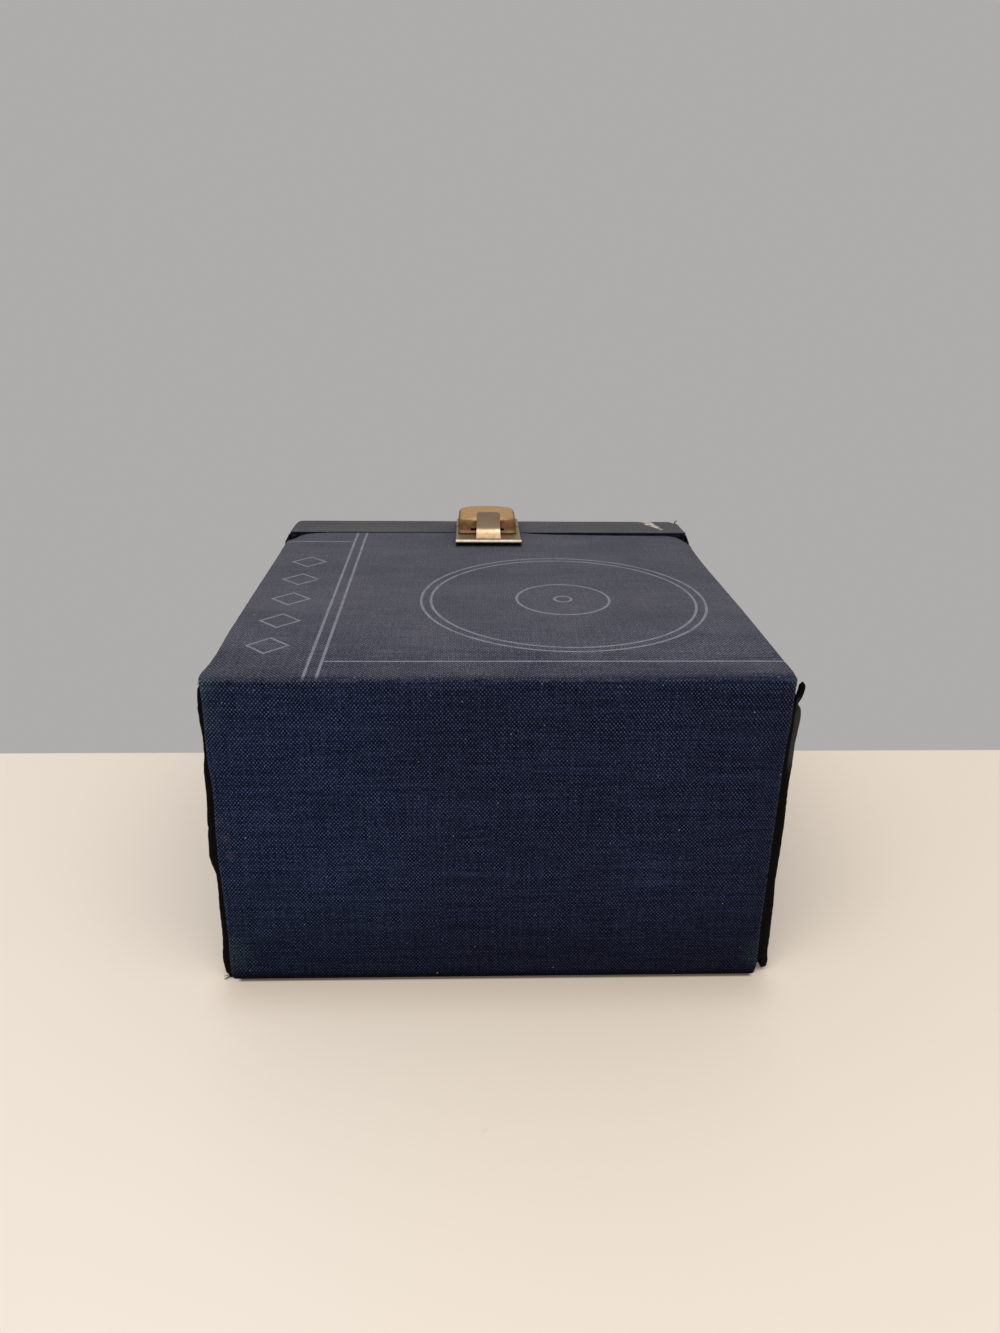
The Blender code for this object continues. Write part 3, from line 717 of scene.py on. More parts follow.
def make_looks():
    """The slot and the material of each finish."""
    foot, crown = HOOD_LOW.z, HOOD_HIGH.z
    # Hood: bright on its top and dark down its near wall, partly worn and tarnished and partly painted
    # reflection and shade, with a painted highlight low on the near wall and a painted shadow line at its
    # foot
    hood = brass_look(
        "hood_finish", (0.690, 0.450, 0.235), (0.270, 0.155, 0.075), 0.60, crown + 0.2 * MM, crown - 2.2 * MM,
        painted_highlight=(2, foot + 2.6 * MM, foot + 0.6 * MM, (0.300, 0.190, 0.105), 0.0), shadow_line=(foot, 0.30 * MM),
    )
    # Plate: painted shade below its top, and a painted highlight along its near roll
    plate = brass_look(
        "plate_finish", (0.470, 0.370, 0.230), (0.050, 0.040, 0.030), 0.42, foot - 0.6 * MM, foot - 1.6 * MM,
        painted_highlight=(1, PLATE_LOW.y + 2.0 * MM, PLATE_LOW.y + 1.1 * MM, (0.780, 0.700, 0.600), foot - 0.7 * MM),
    )
    # Tongue: a painted highlight at its foot, brighter than the upright above
    tongue = brass_look(
        "tongue_finish", (0.900, 0.680, 0.430), (0.420, 0.340, 0.270), 0.40, foot + 1.0 * MM, foot + 5.0 * MM,
        rust=(((1.8 * MM, TONGUE_LOW.y + 1.8 * MM, foot + 0.8 * MM), 0.6 * MM),),
        painted_highlight=(2, foot + 3.4 * MM, foot + 1.0 * MM, (0.860, 0.640, 0.400), 0.0),
    )
    rivet = brass_look(
        "rivet_finish", (0.560, 0.400, 0.210), (0.300, 0.200, 0.110), 0.40, foot, foot - 4 * MM
    )
    body_cloth = cloth_look(
        "body_cloth_finish", (BOTTOM, BODY_RIM), BODY_RIM + 1.6 * MM, printed=True, frays=BODY_FRAYS
    )
    lid_cloth = cloth_look(
        "lid_cloth_finish", (LID_RIM, TOP), LID_RIM - 1.6 * MM, dust=0.35, powder=LID_DUST, scuffs=LID_SCUFFS
    )
    return {
        "body_cloth": ("navy_cloth", body_cloth),
        "lid_cloth": ("navy_cloth", lid_cloth),
        "plain_cloth": ("navy_cloth", cloth_look("plain_cloth_finish")),
        "side": ("black_leathercloth", leathercloth_look()),
        "chipboard": ("chipboard", chipboard_look()),
        "paper": ("lining_paper", paper_look()),
        "hood": ("worn_brass", hood),
        "plate": ("worn_brass", plate),
        "tongue": ("worn_brass", tongue),
        "rivet": ("rivet_brass", rivet),
    }


LOOKS = make_looks()


def sided(body, side, piece):
    """The name of a piece at the left or right of the body or the lid."""
    return f"{'lid_' if body == 'lid' else ''}{'left' if side < 0 else 'right'}_{piece}"


# Body of the box

SIDE_GAP = 0.05 * MM
TURN_GAP = 0.05 * MM
TURN_SHEET = 0.25 * MM
TURN_WIDTHS = (4.5, 2.4, 1.2, 0.5, 0.0)

# How deep the worn front has sunk along the body's rim, as (x, depth) in millimetres
RIM_DROP = (
    (-100, 3.2), (-98, 2.5), (-96.5, 1.9), (-94, 1.4), (-89.5, 0.8), (-84, 0.5), (-79, 0.38), (-60, 0.3),
    (-20, 0.3), (-17, 0.05), (17, 0.05), (20, 0.5), (30, 0.9), (60, 1.35), (90, 1.5), (96, 1.5),
    (100, 1.6),
)
RIM_DROP_REACH = 14 * MM
RIGHT_EDGE_SAG = 1.2 * MM
RIGHT_EDGE_REACH = 11 * MM
RIGHT_EDGE_FROM = -35 * MM
RIGHT_EDGE_RUN = 95 * MM

# The rim's corners, worn round: how far from the side they start, and how far back they go
RIM_CORNERS = {-1: (9 * MM, 9.5 * MM), 1: (4.8 * MM, 9.0 * MM)}
EDGE_BAND = 9 * MM

# The press of a cover's side edges: its width and depth, and the half length that its way is
# weighed with
HUG_BAND = 0.9 * MM
HUG_DEPTH = 0.22 * MM
HUG_LENGTH = 90 * MM
LID_MIDDLE = 90 * MM

# How far the cloth's side edges are drawn in, as (v on the sheet, depth) in millimetres. The end
# face runs from v = -105.5 at its front edge to v = -228.5 at the table.
LID_FOLDS = ((120, 0.2), (222, 0.2), (228.5, 0.7), (235, 0.2))
EDGES = {
    ("case", -1): (
        (82, 0.9), (60, 1.0), (30, 0.95), (0, 0.65), (-60, 0.3), (-80, 0.75), (-93, 0.3), (-98, -0.3),
        (-103, -0.5), (-105.5, 0.2), (-109, 0.3), (-113, 0.4), (-118, 0.4), (-128, 0.1), (-135, 0.1),
        (-145, 0.65), (-155, 0.5), (-165, 0.05), (-175, -0.1), (-195, 0.3), (-208, 0.35), (-218, 0.0),
        (-225, -0.1), (-228, 0.7), (-231, 0.3), (-240, 0.25),
    ),
    ("case", 1): (
        (82, 1.7), (60, 2.2), (40, 2.3), (20, 2.0), (0, 1.7), (-20, 1.3), (-50, 0.5), (-80, -0.1),
        (-98, -0.4), (-105.5, 0.1), (-111, 0.35), (-122, 0.35), (-130, 0.9), (-139, 1.1), (-188, 1.2),
        (-205, 1.3), (-217, 1.0), (-222.5, 0.9), (-225, 1.0), (-227, 1.4), (-228.5, 2.2), (-230, 2.2),
        (-234, 1.2), (-240, 0.4), (-250, 0.25),
    ),
    ("lid", -1): ((83, 0.2), (100, 0.3), (105.5, 0.7), (110, 0.4), *LID_FOLDS),
    ("lid", 1): ((83, 0.4), (90, 0.9), (99, 1.1), (105.5, 1.4), (111, 0.5), *LID_FOLDS),
}
EDGE_SEEDS = {"case": 1.0, "lid": 4.0}

# How far the turn-ins stand out past the cloth's edges, below 0 where the cloth hides them
LID_SPARE = ((83, 0.6), (99, 0.4), (103, -0.3), (108, -0.3), (113, 1.0), (240, 1.0))
TURN_SPARES = {
    ("case", -1): ((84, 0.1), (0, 0.2), (-90, 0.3), (-96, -0.4), (-108, -0.4), (-112, 0.8), (-240, 1.2)),
    ("case", 1): (
        (84, 0.1), (-60, 0.1), (-98, -0.3), (-111, -0.4), (-113, 1.2), (-221, 1.2), (-223, -0.4),
        (-240, -0.4),
    ),
    ("lid", -1): LID_SPARE,
    ("lid", 1): LID_SPARE,
}

# The lid's outer corners: how far from the side and the top they start, and how far they go
LID_CORNERS = {-1: (2.5 * MM, 0.4 * MM), 1: (4.5 * MM, 0.8 * MM)}


def front_sag(x, y):
    """How deep the body's front has sunk."""
    rim = along(RIM_DROP, x / MM) * MM * ease((y - (BODY_RIM - RIM_DROP_REACH)) / RIM_DROP_REACH)
    edge = ease((x - (HALF - RIGHT_EDGE_REACH)) / RIGHT_EDGE_REACH)
    return rim + RIGHT_EDGE_SAG * edge * ease((y - RIGHT_EDGE_FROM) / RIGHT_EDGE_RUN)


def rim_recede(x, y):
    """How far the rim's corners are rounded back."""
    reach, back = RIM_CORNERS[1 if x > 0 else -1]
    t = min(max((abs(x) - (HALF - reach)) / reach, 0.0), 1.0)
    return back * (1 - math.sqrt(1 - t * t)) * ease((y - (BODY_RIM - 3 * back)) / (3 * back))


def edge_bite(x, v, body="case", turned=False):
    """How far the cover's cut side edge is drawn in, or a turn-in's edge below it."""
    side = 1 if x > 0 else -1
    gone = along(EDGES[body, side], v / MM) * MM
    gone += 0.13 * MM * wander(side * 5.0, v, 0.0, 2.6 * MM, EDGE_SEEDS[body])
    if turned:
        gone -= along(TURN_SPARES[body, side], v / MM) * MM
    return side * gone * ease((abs(x) - (HALF - EDGE_BAND)) / EDGE_BAND)


def hug(at, middle_y):
    """Press the last millimetre of a cover's side edge towards the box."""
    close = ease((abs(at.x) - (HALF - HUG_BAND)) / HUG_BAND)
    inward = Vector((0, middle_y - at.y, FRONT / 2 - at.z))
    if abs(inward.y) / HUG_LENGTH > abs(inward.z) / (FRONT / 2):
        inward.z = 0
    else:
        inward.y = 0
    return inward.normalized() * (HUG_DEPTH * close)


def body_shape(at, v, turned=False):
    """Where a point of the body's cover goes, or of the turn-ins under it: sags, corners and waves."""
    upper = ease((at.z - FRONT / 2) / (FRONT / 4))
    moved = at.copy()
    if not turned and at.y < BODY_RIM - 2 * MM:
        moved += hug(at, 0.0)
    moved.z -= front_sag(at.x, at.y) * upper
    moved.y -= rim_recede(at.x, at.y) * upper
    moved.x -= edge_bite(at.x, v, "case", turned)
    moved.z += 0.05 * MM * wander(at.x, at.y, 0.0, 26 * MM) * upper
    if at.y < 0:
        wave = 0.10 * MM * (1 + wander(at.x, at.z, 0.0, 30 * MM, 2.0))
        moved.y += wave * ease((FRONT - at.z) / FOLD_RADIUS)
    return moved


def lid_shape(at, v, turned=False):
    """Where a point of the lid's cover goes, or of the turn-ins under it."""
    moved = at.copy() if turned else at + hug(at, LID_MIDDLE)
    moved.x -= edge_bite(at.x, v, "lid", turned)
    upper = ease((at.z - FRONT / 2) / (FRONT / 4))
    moved.z += 0.05 * MM * (wander(at.x, at.y, 0.0, 22 * MM, 3.0) - 1) * upper
    reach, depth = LID_CORNERS[1 if at.x > 0 else -1]
    corner = ease((abs(at.x) - (HALF - reach)) / reach) * ease((at.y - (TOP - reach)) / reach)
    moved.z -= depth * corner * upper
    moved.y -= depth * corner
    return moved


def flat_places(path, way, level):
    """v of each path point on the flat sheet, equal to y where the path runs along the front."""
    run = lengths_along(path)
    anchor = next(i for i, p in enumerate(path) if abs(p.y - level) < 1e-7 and 0 < i)
    return [path[anchor].x + way * (s - run[anchor]) for s in run]


def cover(name, body, corners, turned_in, shape, finish, replaced):
    """One sheet of cloth round the boards; its first `turned_in` points lie inside the rim."""
    path = rounded_path(corners, PATH_STEP)
    way = -1 if body == "case" else 1
    flat = flat_places(path, way, FRONT)
    rim_y = corners[1][0]

    def thick(index):
        """The cloth is pared thin where it turns in over the rim."""
        if index >= turned_in:
            return CLOTH
        return TURN_THICKNESS + (CLOTH - TURN_THICKNESS) * ease(abs(path[index].x - rim_y) / RIM_FOLD)

    cloth = sweep(name, path, stations(-HALF, HALF, 4 * MM), thick, -way, flat, shape)
    dress(cloth, body, finish, replaced)
    lengths_along(path)[-1]


def covers():
    """The cloth of the body and of the lid, turned in over their rims."""
    rim_y = BODY_RIM + RIM_TURN
    corners = [
        (rim_y, BODY_INNER_Z, 0), (rim_y, FRONT, RIM_FOLD), (BOTTOM, FRONT, FOLD_RADIUS),
        (BOTTOM, 0.0, BASE_FOLD), (BODY_RIM - HINGE_STRIP, 0.0, 0),
    ]
    cover(
        "body_cover_cloth", "case", corners, 12, body_shape, "body_cloth", ("front_cloth", "back_cloth"),
    )
    rim_y = LID_RIM - RIM_TURN
    inner_z = LID_INNER_Z - 0.35 * MM
    corners = [
        (LID_RIM + LID_TURN_IN, inner_z, 0), (rim_y, inner_z, 0.3 * MM), (rim_y, FRONT, RIM_FOLD),
        (TOP, FRONT, FOLD_RADIUS), (TOP, 0.0, FOLD_RADIUS), (LID_RIM + HINGE_STRIP, 0.0, 0),
    ]
    cover(
        "lid_cover_cloth", "lid", corners, 24, lid_shape, "lid_cloth", ("lid_cloth", "lid_back_cloth"),
    )


def edge_turn_in(body, side):
    """Leathercloth turned over the boards' side edges, under the edge of the cover cloth."""
    inset = CLOTH + TURN_GAP
    front, back, radius = FRONT - inset, inset, FOLD_RADIUS - inset
    if body == "case":
        end, far, way, shape, base = BOTTOM + inset, BODY_RIM - 0.3 * MM, 1, body_shape, 0.3 * MM
    else:
        end, far, way, shape, base = TOP - inset, LID_RIM + 0.3 * MM, -1, lid_shape, radius
    corners = [(far, front, 0), (end, front, radius), (end, back, base), (far, back, 0)]
    path = rounded_path(corners, PATH_STEP, steps=4)
    xs = sorted(side * (HALF + SIDE_GAP - width * MM) for width in TURN_WIDTHS)
    name, flat = sided(body, side, "edge_turn_in"), flat_places(path, -way, front)
    strip = sweep(name, path, xs, TURN_SHEET, way, flat, lambda at, v: shape(at, v, turned=True))
    dress(strip, body, "side")


def cloth_hinge():
    """The strip of cover cloth across the back seam, pressed into the joint between the boards."""
    path = []
    for i in range(41):
        y = BODY_RIM - HINGE_STRIP + i / 40 * (LID_RIM - BODY_RIM + 2 * HINGE_STRIP)
        path.append(Vector((y, 0.25 * MM * bell(y - SEAM, 1.6 * MM))))
    flat = [BOTTOM - FRONT - (p.x - BOTTOM) for p in path]
    strip = sweep(
        "cloth_hinge", path, stations(-HALF, HALF, 6 * MM), CLOTH, 1, flat,
        lambda at, v: at - Vector((edge_bite(at.x, v), 0, 0)),
    )
    dress(strip, None, "plain_cloth")
    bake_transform(strip)


def inner_hinge_tape():
    """Woven tape down into the joint and up again, across the hinge line."""
    body_low, body_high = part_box("body_hinge_tape")
    lid_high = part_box("lid_hinge_tape")[1]
    body_wall, lid_wall = BODY_RIM + RIM_TURN, LID_RIM - RIM_TURN
    floor_z = 1.1 * MM
    corners = [
        (body_low.y, body_high.z, 0), (body_wall, body_high.z, 0.3 * MM), (body_wall, floor_z, 0.18 * MM),
        (lid_wall, floor_z, 0.18 * MM), (lid_wall, lid_high.z, 0.3 * MM), (lid_high.y, lid_high.z, 0),
    ]
    path = rounded_path(corners, 1 * MM)

    def shape(at, v):
        """The tape's cut ends are a little uneven."""
        if abs(at.x) <= body_high.x - 1 * MM:
            return at
        return at + Vector((0.2 * MM * wander(0, at.y, at.z, 3 * MM), 0, 0))

    xs = stations(body_low.x, body_high.x, 6 * MM)
    tape = sweep("inner_hinge_tape", path, xs, 0.2 * MM, -1, lengths_along(path), shape)
    dress(tape, None, "plain_cloth", ("body_hinge_tape", "lid_hinge_tape"))
    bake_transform(tape)


def crushed_front_board():
    """The front board, sunk at the corners where the cloth over it has sagged."""
    rim_y, depth = BODY_RIM - 0.3 * MM, BOARD_HIGH.z - BOARD_LOW.z
    corners = [(rim_y, BOARD_LOW.z, 0), (rim_y, BOARD_HIGH.z, 0.3 * MM), (BOARD_LOW.y, BOARD_HIGH.z, 0)]

    def shape(at, v):
        moved = at.copy()
        moved.z -= min(front_sag(at.x, at.y), depth - 0.4 * MM) * (at.z - BOARD_LOW.z) / depth
        moved.y -= rim_recede(at.x, at.y)
        drawn_in = edge_bite(at.x, at.y)
        if drawn_in * at.x > 0:
            moved.x -= drawn_in
        return moved

    top = rounded_path(corners, PATH_STEP, steps=3)[1:]
    board = sweep("crushed_front_board", top, stations(-HALF, HALF, 4 * MM), depth, 1, None, shape, sharp=30)
    dress(board, "case", "chipboard", ("front_board",))


def worn_board(node, radius, axes):
    """A board of the body with one corner worn round; axes are those of its outline."""
    low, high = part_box(node)
    a, b = axes
    through = 3 - a - b
    flip = -1 if a == 1 else 1
    low_a, high_a = sorted((flip * low[a], flip * high[a]))
    worn = arc(Vector((high_a - radius, low[b] + radius)), radius, -90, 90, 8)
    outline = [(low_a, low[b]), *worn, (high_a, high[b]), (low_a, high[b])]
    points = []
    for level in (low[through], high[through]):
        for p, q in outline:
            at = Vector((0, 0, 0))
            at[a], at[b], at[through] = flip * p, q, level
            points.append(at)
    size = len(outline)
    faces = [tuple(range(size)), tuple(range(size, 2 * size))] + tube_faces(2, size)
    board = finish_mesh(f"worn_{node}", points, faces, sharp=30)
    dress(ease_edges(board, 0.2 * MM, segments=2), "case", "chipboard", (node,))


# Side covers

# Outline of the black covers at the bottom end: (height, stand-out) in millimetres
SWELLS = {
    ("case", -1): (
        (121.5, 0.3), (119, 1.0), (117, 1.3), (112, 1.7), (106, 1.55), (101, 1.1), (94, 1.3), (88, 2.1),
        (80, 2.1), (74, 2.4), (67, 3.0), (65, 2.75), (62.5, 3.3), (57, 3.5), (53.5, 3.7), (50.5, 3.3),
        (48, 2.5), (45.5, 1.9), (38, 1.9), (31, 2.2), (20, 2.2), (15, 2.45), (11, 2.95), (7.5, 3.15),
        (5, 2.8), (2, 2.5),
    ),
    ("case", 1): (
        (121.5, 0.3), (114, 1.0), (112.6, 2.1), (111.2, 3.1), (108, 3.4), (105, 3.3), (98, 2.7),
        (89, 2.75), (81, 2.5), (65, 2.9), (55, 2.8), (40, 2.5), (31, 3.1), (23, 3.2), (15, 3.4), (8, 3.3),
        (5, 3.5), (1.5, 3.2),
    ),
}
PLAIN_SWELL = 1.15
SWELL_REACH = 14 * MM
SIDE_ROUND = 0.8 * MM
SIDE_EDGES = (0.12, 0.35, 0.7, 1.2, 2.2, 4.0)
SIDE_LIFT = 0.3 * MM
SIDE_PEEL = 1.3 * MM

# How far the front corner at the bottom end has gone from each panel of the body
CORNER_DROP = {-1: 1.6 * MM, 1: 5.5 * MM}
CORNER_RUN = 5 * MM
CORNER_BAND = 25 * MM

# How far the panels stand off at the rim, left and right, the share of it that is left at the front
# edge, how far below that edge all of it is there, and how far it reaches along the box
RIM_FLARE = {-1: 2.7 * MM, 1: 1.5 * MM}
FLARE_TOP = {-1: 0.35, 1: 0.10}
FLARE_DOWN = 4.8 * MM
FLARE_REACH = 9 * MM

# From this height up, the body's panels are drawn in with the cover cloth's side edge
BOARD_TOP = 118.8 * MM


def round_off(gap):
    """The share of its full stand-out that a panel has this far from its edge."""
    t = min(max(gap / SIDE_ROUND, 0.0), 1.0)
    return 0.25 + 0.75 * math.sqrt(1 - (1 - t) ** 2)


def side_cover(body, side):
    """A black panel: its stand-out varies, its edges are round and its outline is a little ragged."""
    node = sided(body, side, "side_cover")
    low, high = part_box(node)
    ys = stations(low.y, high.y, 4 * MM, SIDE_EDGES)
    zs = stations(low.z, high.z, 1.5 * MM, SIDE_EDGES)
    seed = 3.0 + side
    rim = high.y if body == "case" else low.y

    def rise(z, start, reach):
        """0 up to `start` below the panel's front edge, and 1 a reach above that."""
        return ease((z - (high.z - start)) / reach)

    def at_foot(z, start, reach):
        return ease((low.z + start - z) / reach)

    def at_end(y, reach):
        """1 at the panel's low end along y, and 0 beyond the reach."""
        return ease(1 - (y - low.y) / reach)

    def peel(y, z):
        """1 where the right panel's lower corner has come away from the board."""
        return at_foot(z, 8 * MM, 6 * MM) * at_end(y, 12 * MM) if (body, side) == ("case", 1) else 0.0

    def outline(y, z):
        """Where a place of the panel goes in its own plane."""
        ragged = 0.30 * MM * wander(0, y, z, 2.5 * MM, seed) + 0.25 * MM * wander(0, y, z, 9 * MM, seed)
        at_z = z - abs(ragged) * rise(z, 2 * MM, 2 * MM)
        if body == "lid":
            return y - ragged * ease(1 - (high.y - y) / (2 * MM)), at_z
        at_z -= CORNER_DROP[side] * at_end(y, CORNER_RUN) * rise(z, CORNER_BAND, CORNER_BAND)
        at_z -= 0.8 * front_sag(side * HALF, y) * rise(z, 8 * MM, 8 * MM)
        at_z += SIDE_LIFT * peel(y, low.z) * at_foot(z, 6 * MM, 6 * MM)
        return y + ragged * at_end(y, 2 * MM), at_z

    def stand_out(y, z, at_z):
        """How thick the panel is there, with its swelling at the bottom end and its flare at the rim."""
        plain = PLAIN_SWELL * MM * (1 + 0.12 * wander(0, y, z, 24 * MM, seed))
        plain *= 0.45 + 0.55 * ease((high.z - z) / (9 * MM))
        if (body, side) in SWELLS:
            swollen = along(SWELLS[body, side], at_z / MM) * MM + 0.12 * MM * wander(0, 0, z, 1.7 * MM, seed)
            plain += (swollen - plain) * at_end(y, SWELL_REACH)
        flare = RIM_FLARE[side] * ease(1 - abs(y - rim) / FLARE_REACH) * rise(z, 15 * MM, 9 * MM)
        flare *= FLARE_TOP[side] + (1 - FLARE_TOP[side]) * ease((high.z - z) / FLARE_DOWN)
        gap = min(y - low.y, high.y - y, z - low.z, high.z - z)
        return plain * round_off(gap) + flare * round_off(abs(y - rim))

    def away(y, z, peeled):
        """How far the panel stands off the board: less at a worn rim, more where it peels."""
        off = SIDE_PEEL * peel(y, z) * peeled
        if body == "case":
            drawn_in = max(side * edge_bite(side * HALF, y), 0.0)
            off -= drawn_in * ease((z - BOARD_TOP) / (high.z - BOARD_TOP))
        return off

    points = []
    for outer, peeled in ((True, 0.35), (False, 1.0)):
        for y in ys:
            for z in zs:
                at_y, at_z = outline(y, z)
                depth = stand_out(y, z, at_z) if outer else 0.0
                points.append(Vector((side * (HALF + SIDE_GAP + depth + away(y, z, peeled)), at_y, at_z)))
    wide, size = len(zs), len(ys) * len(zs)
    last = size - wide
    faces = []
    for a in (row + j for row in range(0, last, wide) for j in range(wide - 1)):
        faces.append((a, a + 1, a + wide + 1, a + wide))
        faces.append((a + size, a + wide + size, a + wide + 1 + size, a + 1 + size))
    border = list(range(wide)) + list(range(2 * wide - 1, size, wide))
    border += list(range(size - 2, last - 1, -1)) + list(range(last - wide, 0, -wide))
    for a, b in zip(border, border[1:] + border[:1]):
        faces.append((a, b, b + size, a + size))
    panel = finish_mesh(sided(body, side, "side_panel"), points, faces, sharp=60)
    dress(panel, body, "side", (node,))


# Outer edge of the sliver, as (x, z) in millimetres
SLIVER = (
    (100.8, 112.4), (101.5, 114.0), (102.3, 115.6), (102.8, 117.3), (103.1, 119.0), (103.1, 120.2),
    (102.8, 121.0),
)
SLIVER_SHEET = 1.6 * MM


def peeled_strip():
    """A sliver of the right cover that has come away at the bottom end's front corner."""
    corners = [Vector((x * MM, z * MM)) for x, z in SLIVER]
    path = corners[:1] + [a.lerp(b, t) for a, b in zip(corners, corners[1:]) for t in (0.5, 1.0)]

    def thick(index):
        """Thicker towards the tip, which is round."""
        share = index / (len(path) - 1)
        swollen = 0.5 + 0.5 * ease(share / 0.5)
        return SLIVER_SHEET * swollen * math.sqrt(max(0.08, 1 - max(0.0, (share - 0.75) / 0.25) ** 2))

    deep = stations(BOTTOM + 0.9 * MM, BOTTOM + 3.2 * MM, 0.7 * MM, (0.15, 0.4))
    strip = sweep("right_peeled_strip", path, deep, thick, 1, sharp=70, put=lengthwise)
    dress(strip, "case", "side")


# How far the turn-in reaches over the front edge of a side board, from the side and from the rim
RIM_CAP = (12 * MM, 14 * MM)


def rim_binding(body, side):
    """Leathercloth turned over the end of a side board at the rim."""
    low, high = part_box(sided(body, side, "board"))
    name = sided(body, side, "rim_binding")
    ys = (BODY_RIM, BODY_RIM + RIM_TURN) if body == "case" else (LID_RIM - RIM_TURN, LID_RIM)
    xs = sorted((side * (HALF - (high.x - low.x)), side * (HALF + 0.5 * MM)))
    pieces = [block(name, (xs[0], ys[0], 1 * MM), (xs[1], ys[1], FRONT - 4.5 * MM), bevel=0.08 * MM)]
    if body == "case":
        xs = sorted((side * (HALF - RIM_CAP[0]), side * (HALF + 0.2 * MM)))
        top = BODY_INNER_Z + 0.06 * MM
        pieces.append(block(f"{name}_cap", (xs[0], BODY_RIM - RIM_CAP[1], high.z), (xs[1], BODY_RIM, top)))
    for piece in pieces:
        dress(piece, body, "side")


def thread(name, points, body):
    """A loose thread, as a thin tube through a few points."""
    curve = bpy.data.curves.new(name, "CURVE")
    curve.dimensions = "3D"
    curve.bevel_depth = LOOSE_THREAD
    curve.bevel_resolution = 1
    curve.use_fill_caps = True
    line = curve.splines.new("NURBS")
    line.points.add(len(points) - 1)
    for point, at in zip(line.points, points):
        point.co = (*at, 1.0)
    line.use_endpoint_u = True
    line.order_u = 3
    line.resolution_u = 3
    dress(add(name, curve), body, "side")


# Frayed places: name, body, start point in millimetres, way out, number of threads and length
FRAYS = (
    ("bottom_left_fray", "case", (-100.7, -104.6, 1.4), (-1.0, -0.25, -0.1), 6, 1.7),
    ("front_left_fray", "case", (-99.0, -104.9, 122.0), (-0.6, -0.35, 0.4), 5, 1.0),
    ("lid_right_fray", "lid", (98.6, 104.4, 122.4), (0.6, 0.3, 0.7), 4, 1.3),
)
FRAY_SPREAD = 0.9
LOOSE_THREAD = 0.10 * MM


def frays():
    """Short loose threads at the corners where the cloth has worn through."""
    for name, body, start, way, count, length in FRAYS:
        for i in range(count):
            spread = Vector([wander(i, k, 0, 0.37) for k in (1, 2, 3)])
            begin = (Vector(start) + spread * FRAY_SPREAD) * MM
            heading = (Vector(way).normalized() + spread * FRAY_SPREAD).normalized() * length * MM
            curl_way = Vector((spread.y, spread.z, spread.x)) * length * 0.4 * MM
            points = [begin + heading * share + curl_way * share**2 * 1.5 for share in (-0.4, 0.35, 0.7, 1.0)]
            for point in points:
                point.z = max(point.z, 0.3 * MM)
            thread(f"{name}_{i}", points, body)


# Lid inside


def lid_wall_paper():
    """Lining paper round the inside of the lid's four walls, over the turn-ins."""
    inset = 0.45 * MM
    half = abs(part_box("lid_left_board")[1].x) - inset
    low_z, high_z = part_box("lid_back_board")[1].z + inset, LID_INNER_Z - inset
    corners = [(0.0, low_z), (half, low_z), (half, high_z), (-half, high_z), (-half, low_z), (0.0, low_z)]
    path = rounded_path([(x, z, 0.8 * MM) for x, z in corners], 8 * MM, steps=4)
    low, high = LID_RIM + 6.5 * MM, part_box("lid_top_lining")[0].y
    paper = sweep("lid_wall_paper", path, [low, (low + high) / 2, high], 0.18 * MM, -1, put=lengthwise)
    dress(paper, "lid", "paper")


def carried_over():
    """CAD nodes whose shape is right, welded and with a better material; the paper ones get eased edges too.
    """
    finishes = {
        "chipboard": (
            "bottom_board", "left_board", "lid_top_board", "lid_front_board", "lid_back_board",
            "lid_left_board", "lid_right_board",
        ),
        "paper": ("front_liner", "back_liner", "left_liner", "right_liner", "base_lining", "lid_top_lining"),
    }
    for finish, nodes in finishes.items():
        for name in nodes:
            node = frame["nodes"][name]
            wear(node, finish)
            node.modifiers.new("weld", "WELD").merge_threshold = 0.01 * MM
            if finish == "paper":
                ease_edges(node, 0.3 * MM)


# Clasp

HOOD_SHEET = 0.8 * MM
HOOD_TOP_ROUND = 2.3 * MM
HOOD_CORNER = 2.6 * MM
HOOD_DRAFT = 0.4 * MM
HOOD_CROWN = 1.2 * MM
HOOD_RISE = 0.7 * MM
HOOD_LEAN = 0.45
HOOD_FAR = HOOD_LOW.y + 25.8 * MM
SLOT_HALF = 8.2 * MM
SLOT_FOOT = 1.5 * MM
SLOT_HEIGHT = 1.2 * MM
CURL_RADIUS = 1.2 * MM
CURL_SHEET = 0.58 * MM
HOOD_KNUCKLE = 7.0 * MM
PLATE_KNUCKLE = (7.3 * MM, 13.3 * MM)
CLASP_SHIFT = -1.0 * MM
HOOD_SHIFT = -1.5 * MM
CLASP_EDGE = 0.12 * MM


def rounded_rectangle(half_x, half_y, radius, along_side=8, steps=6):
    """Points round a rectangle with round corners, the same number for every size."""
    radius = min(radius, half_x, half_y)
    arcs = []
    for sign_x, sign_y, start in ((1, 1, 0), (-1, 1, 90), (-1, -1, 180), (1, -1, 270)):
        middle = Vector((sign_x * (half_x - radius), sign_y * (half_y - radius)))
        arcs.append(arc(middle, radius, start, 90, steps))
    points = []
    for bend, following in zip(arcs, arcs[1:] + arcs[:1]):
        points += bend + [bend[-1].lerp(following[0], i / along_side) for i in range(1, along_side)]
    return points


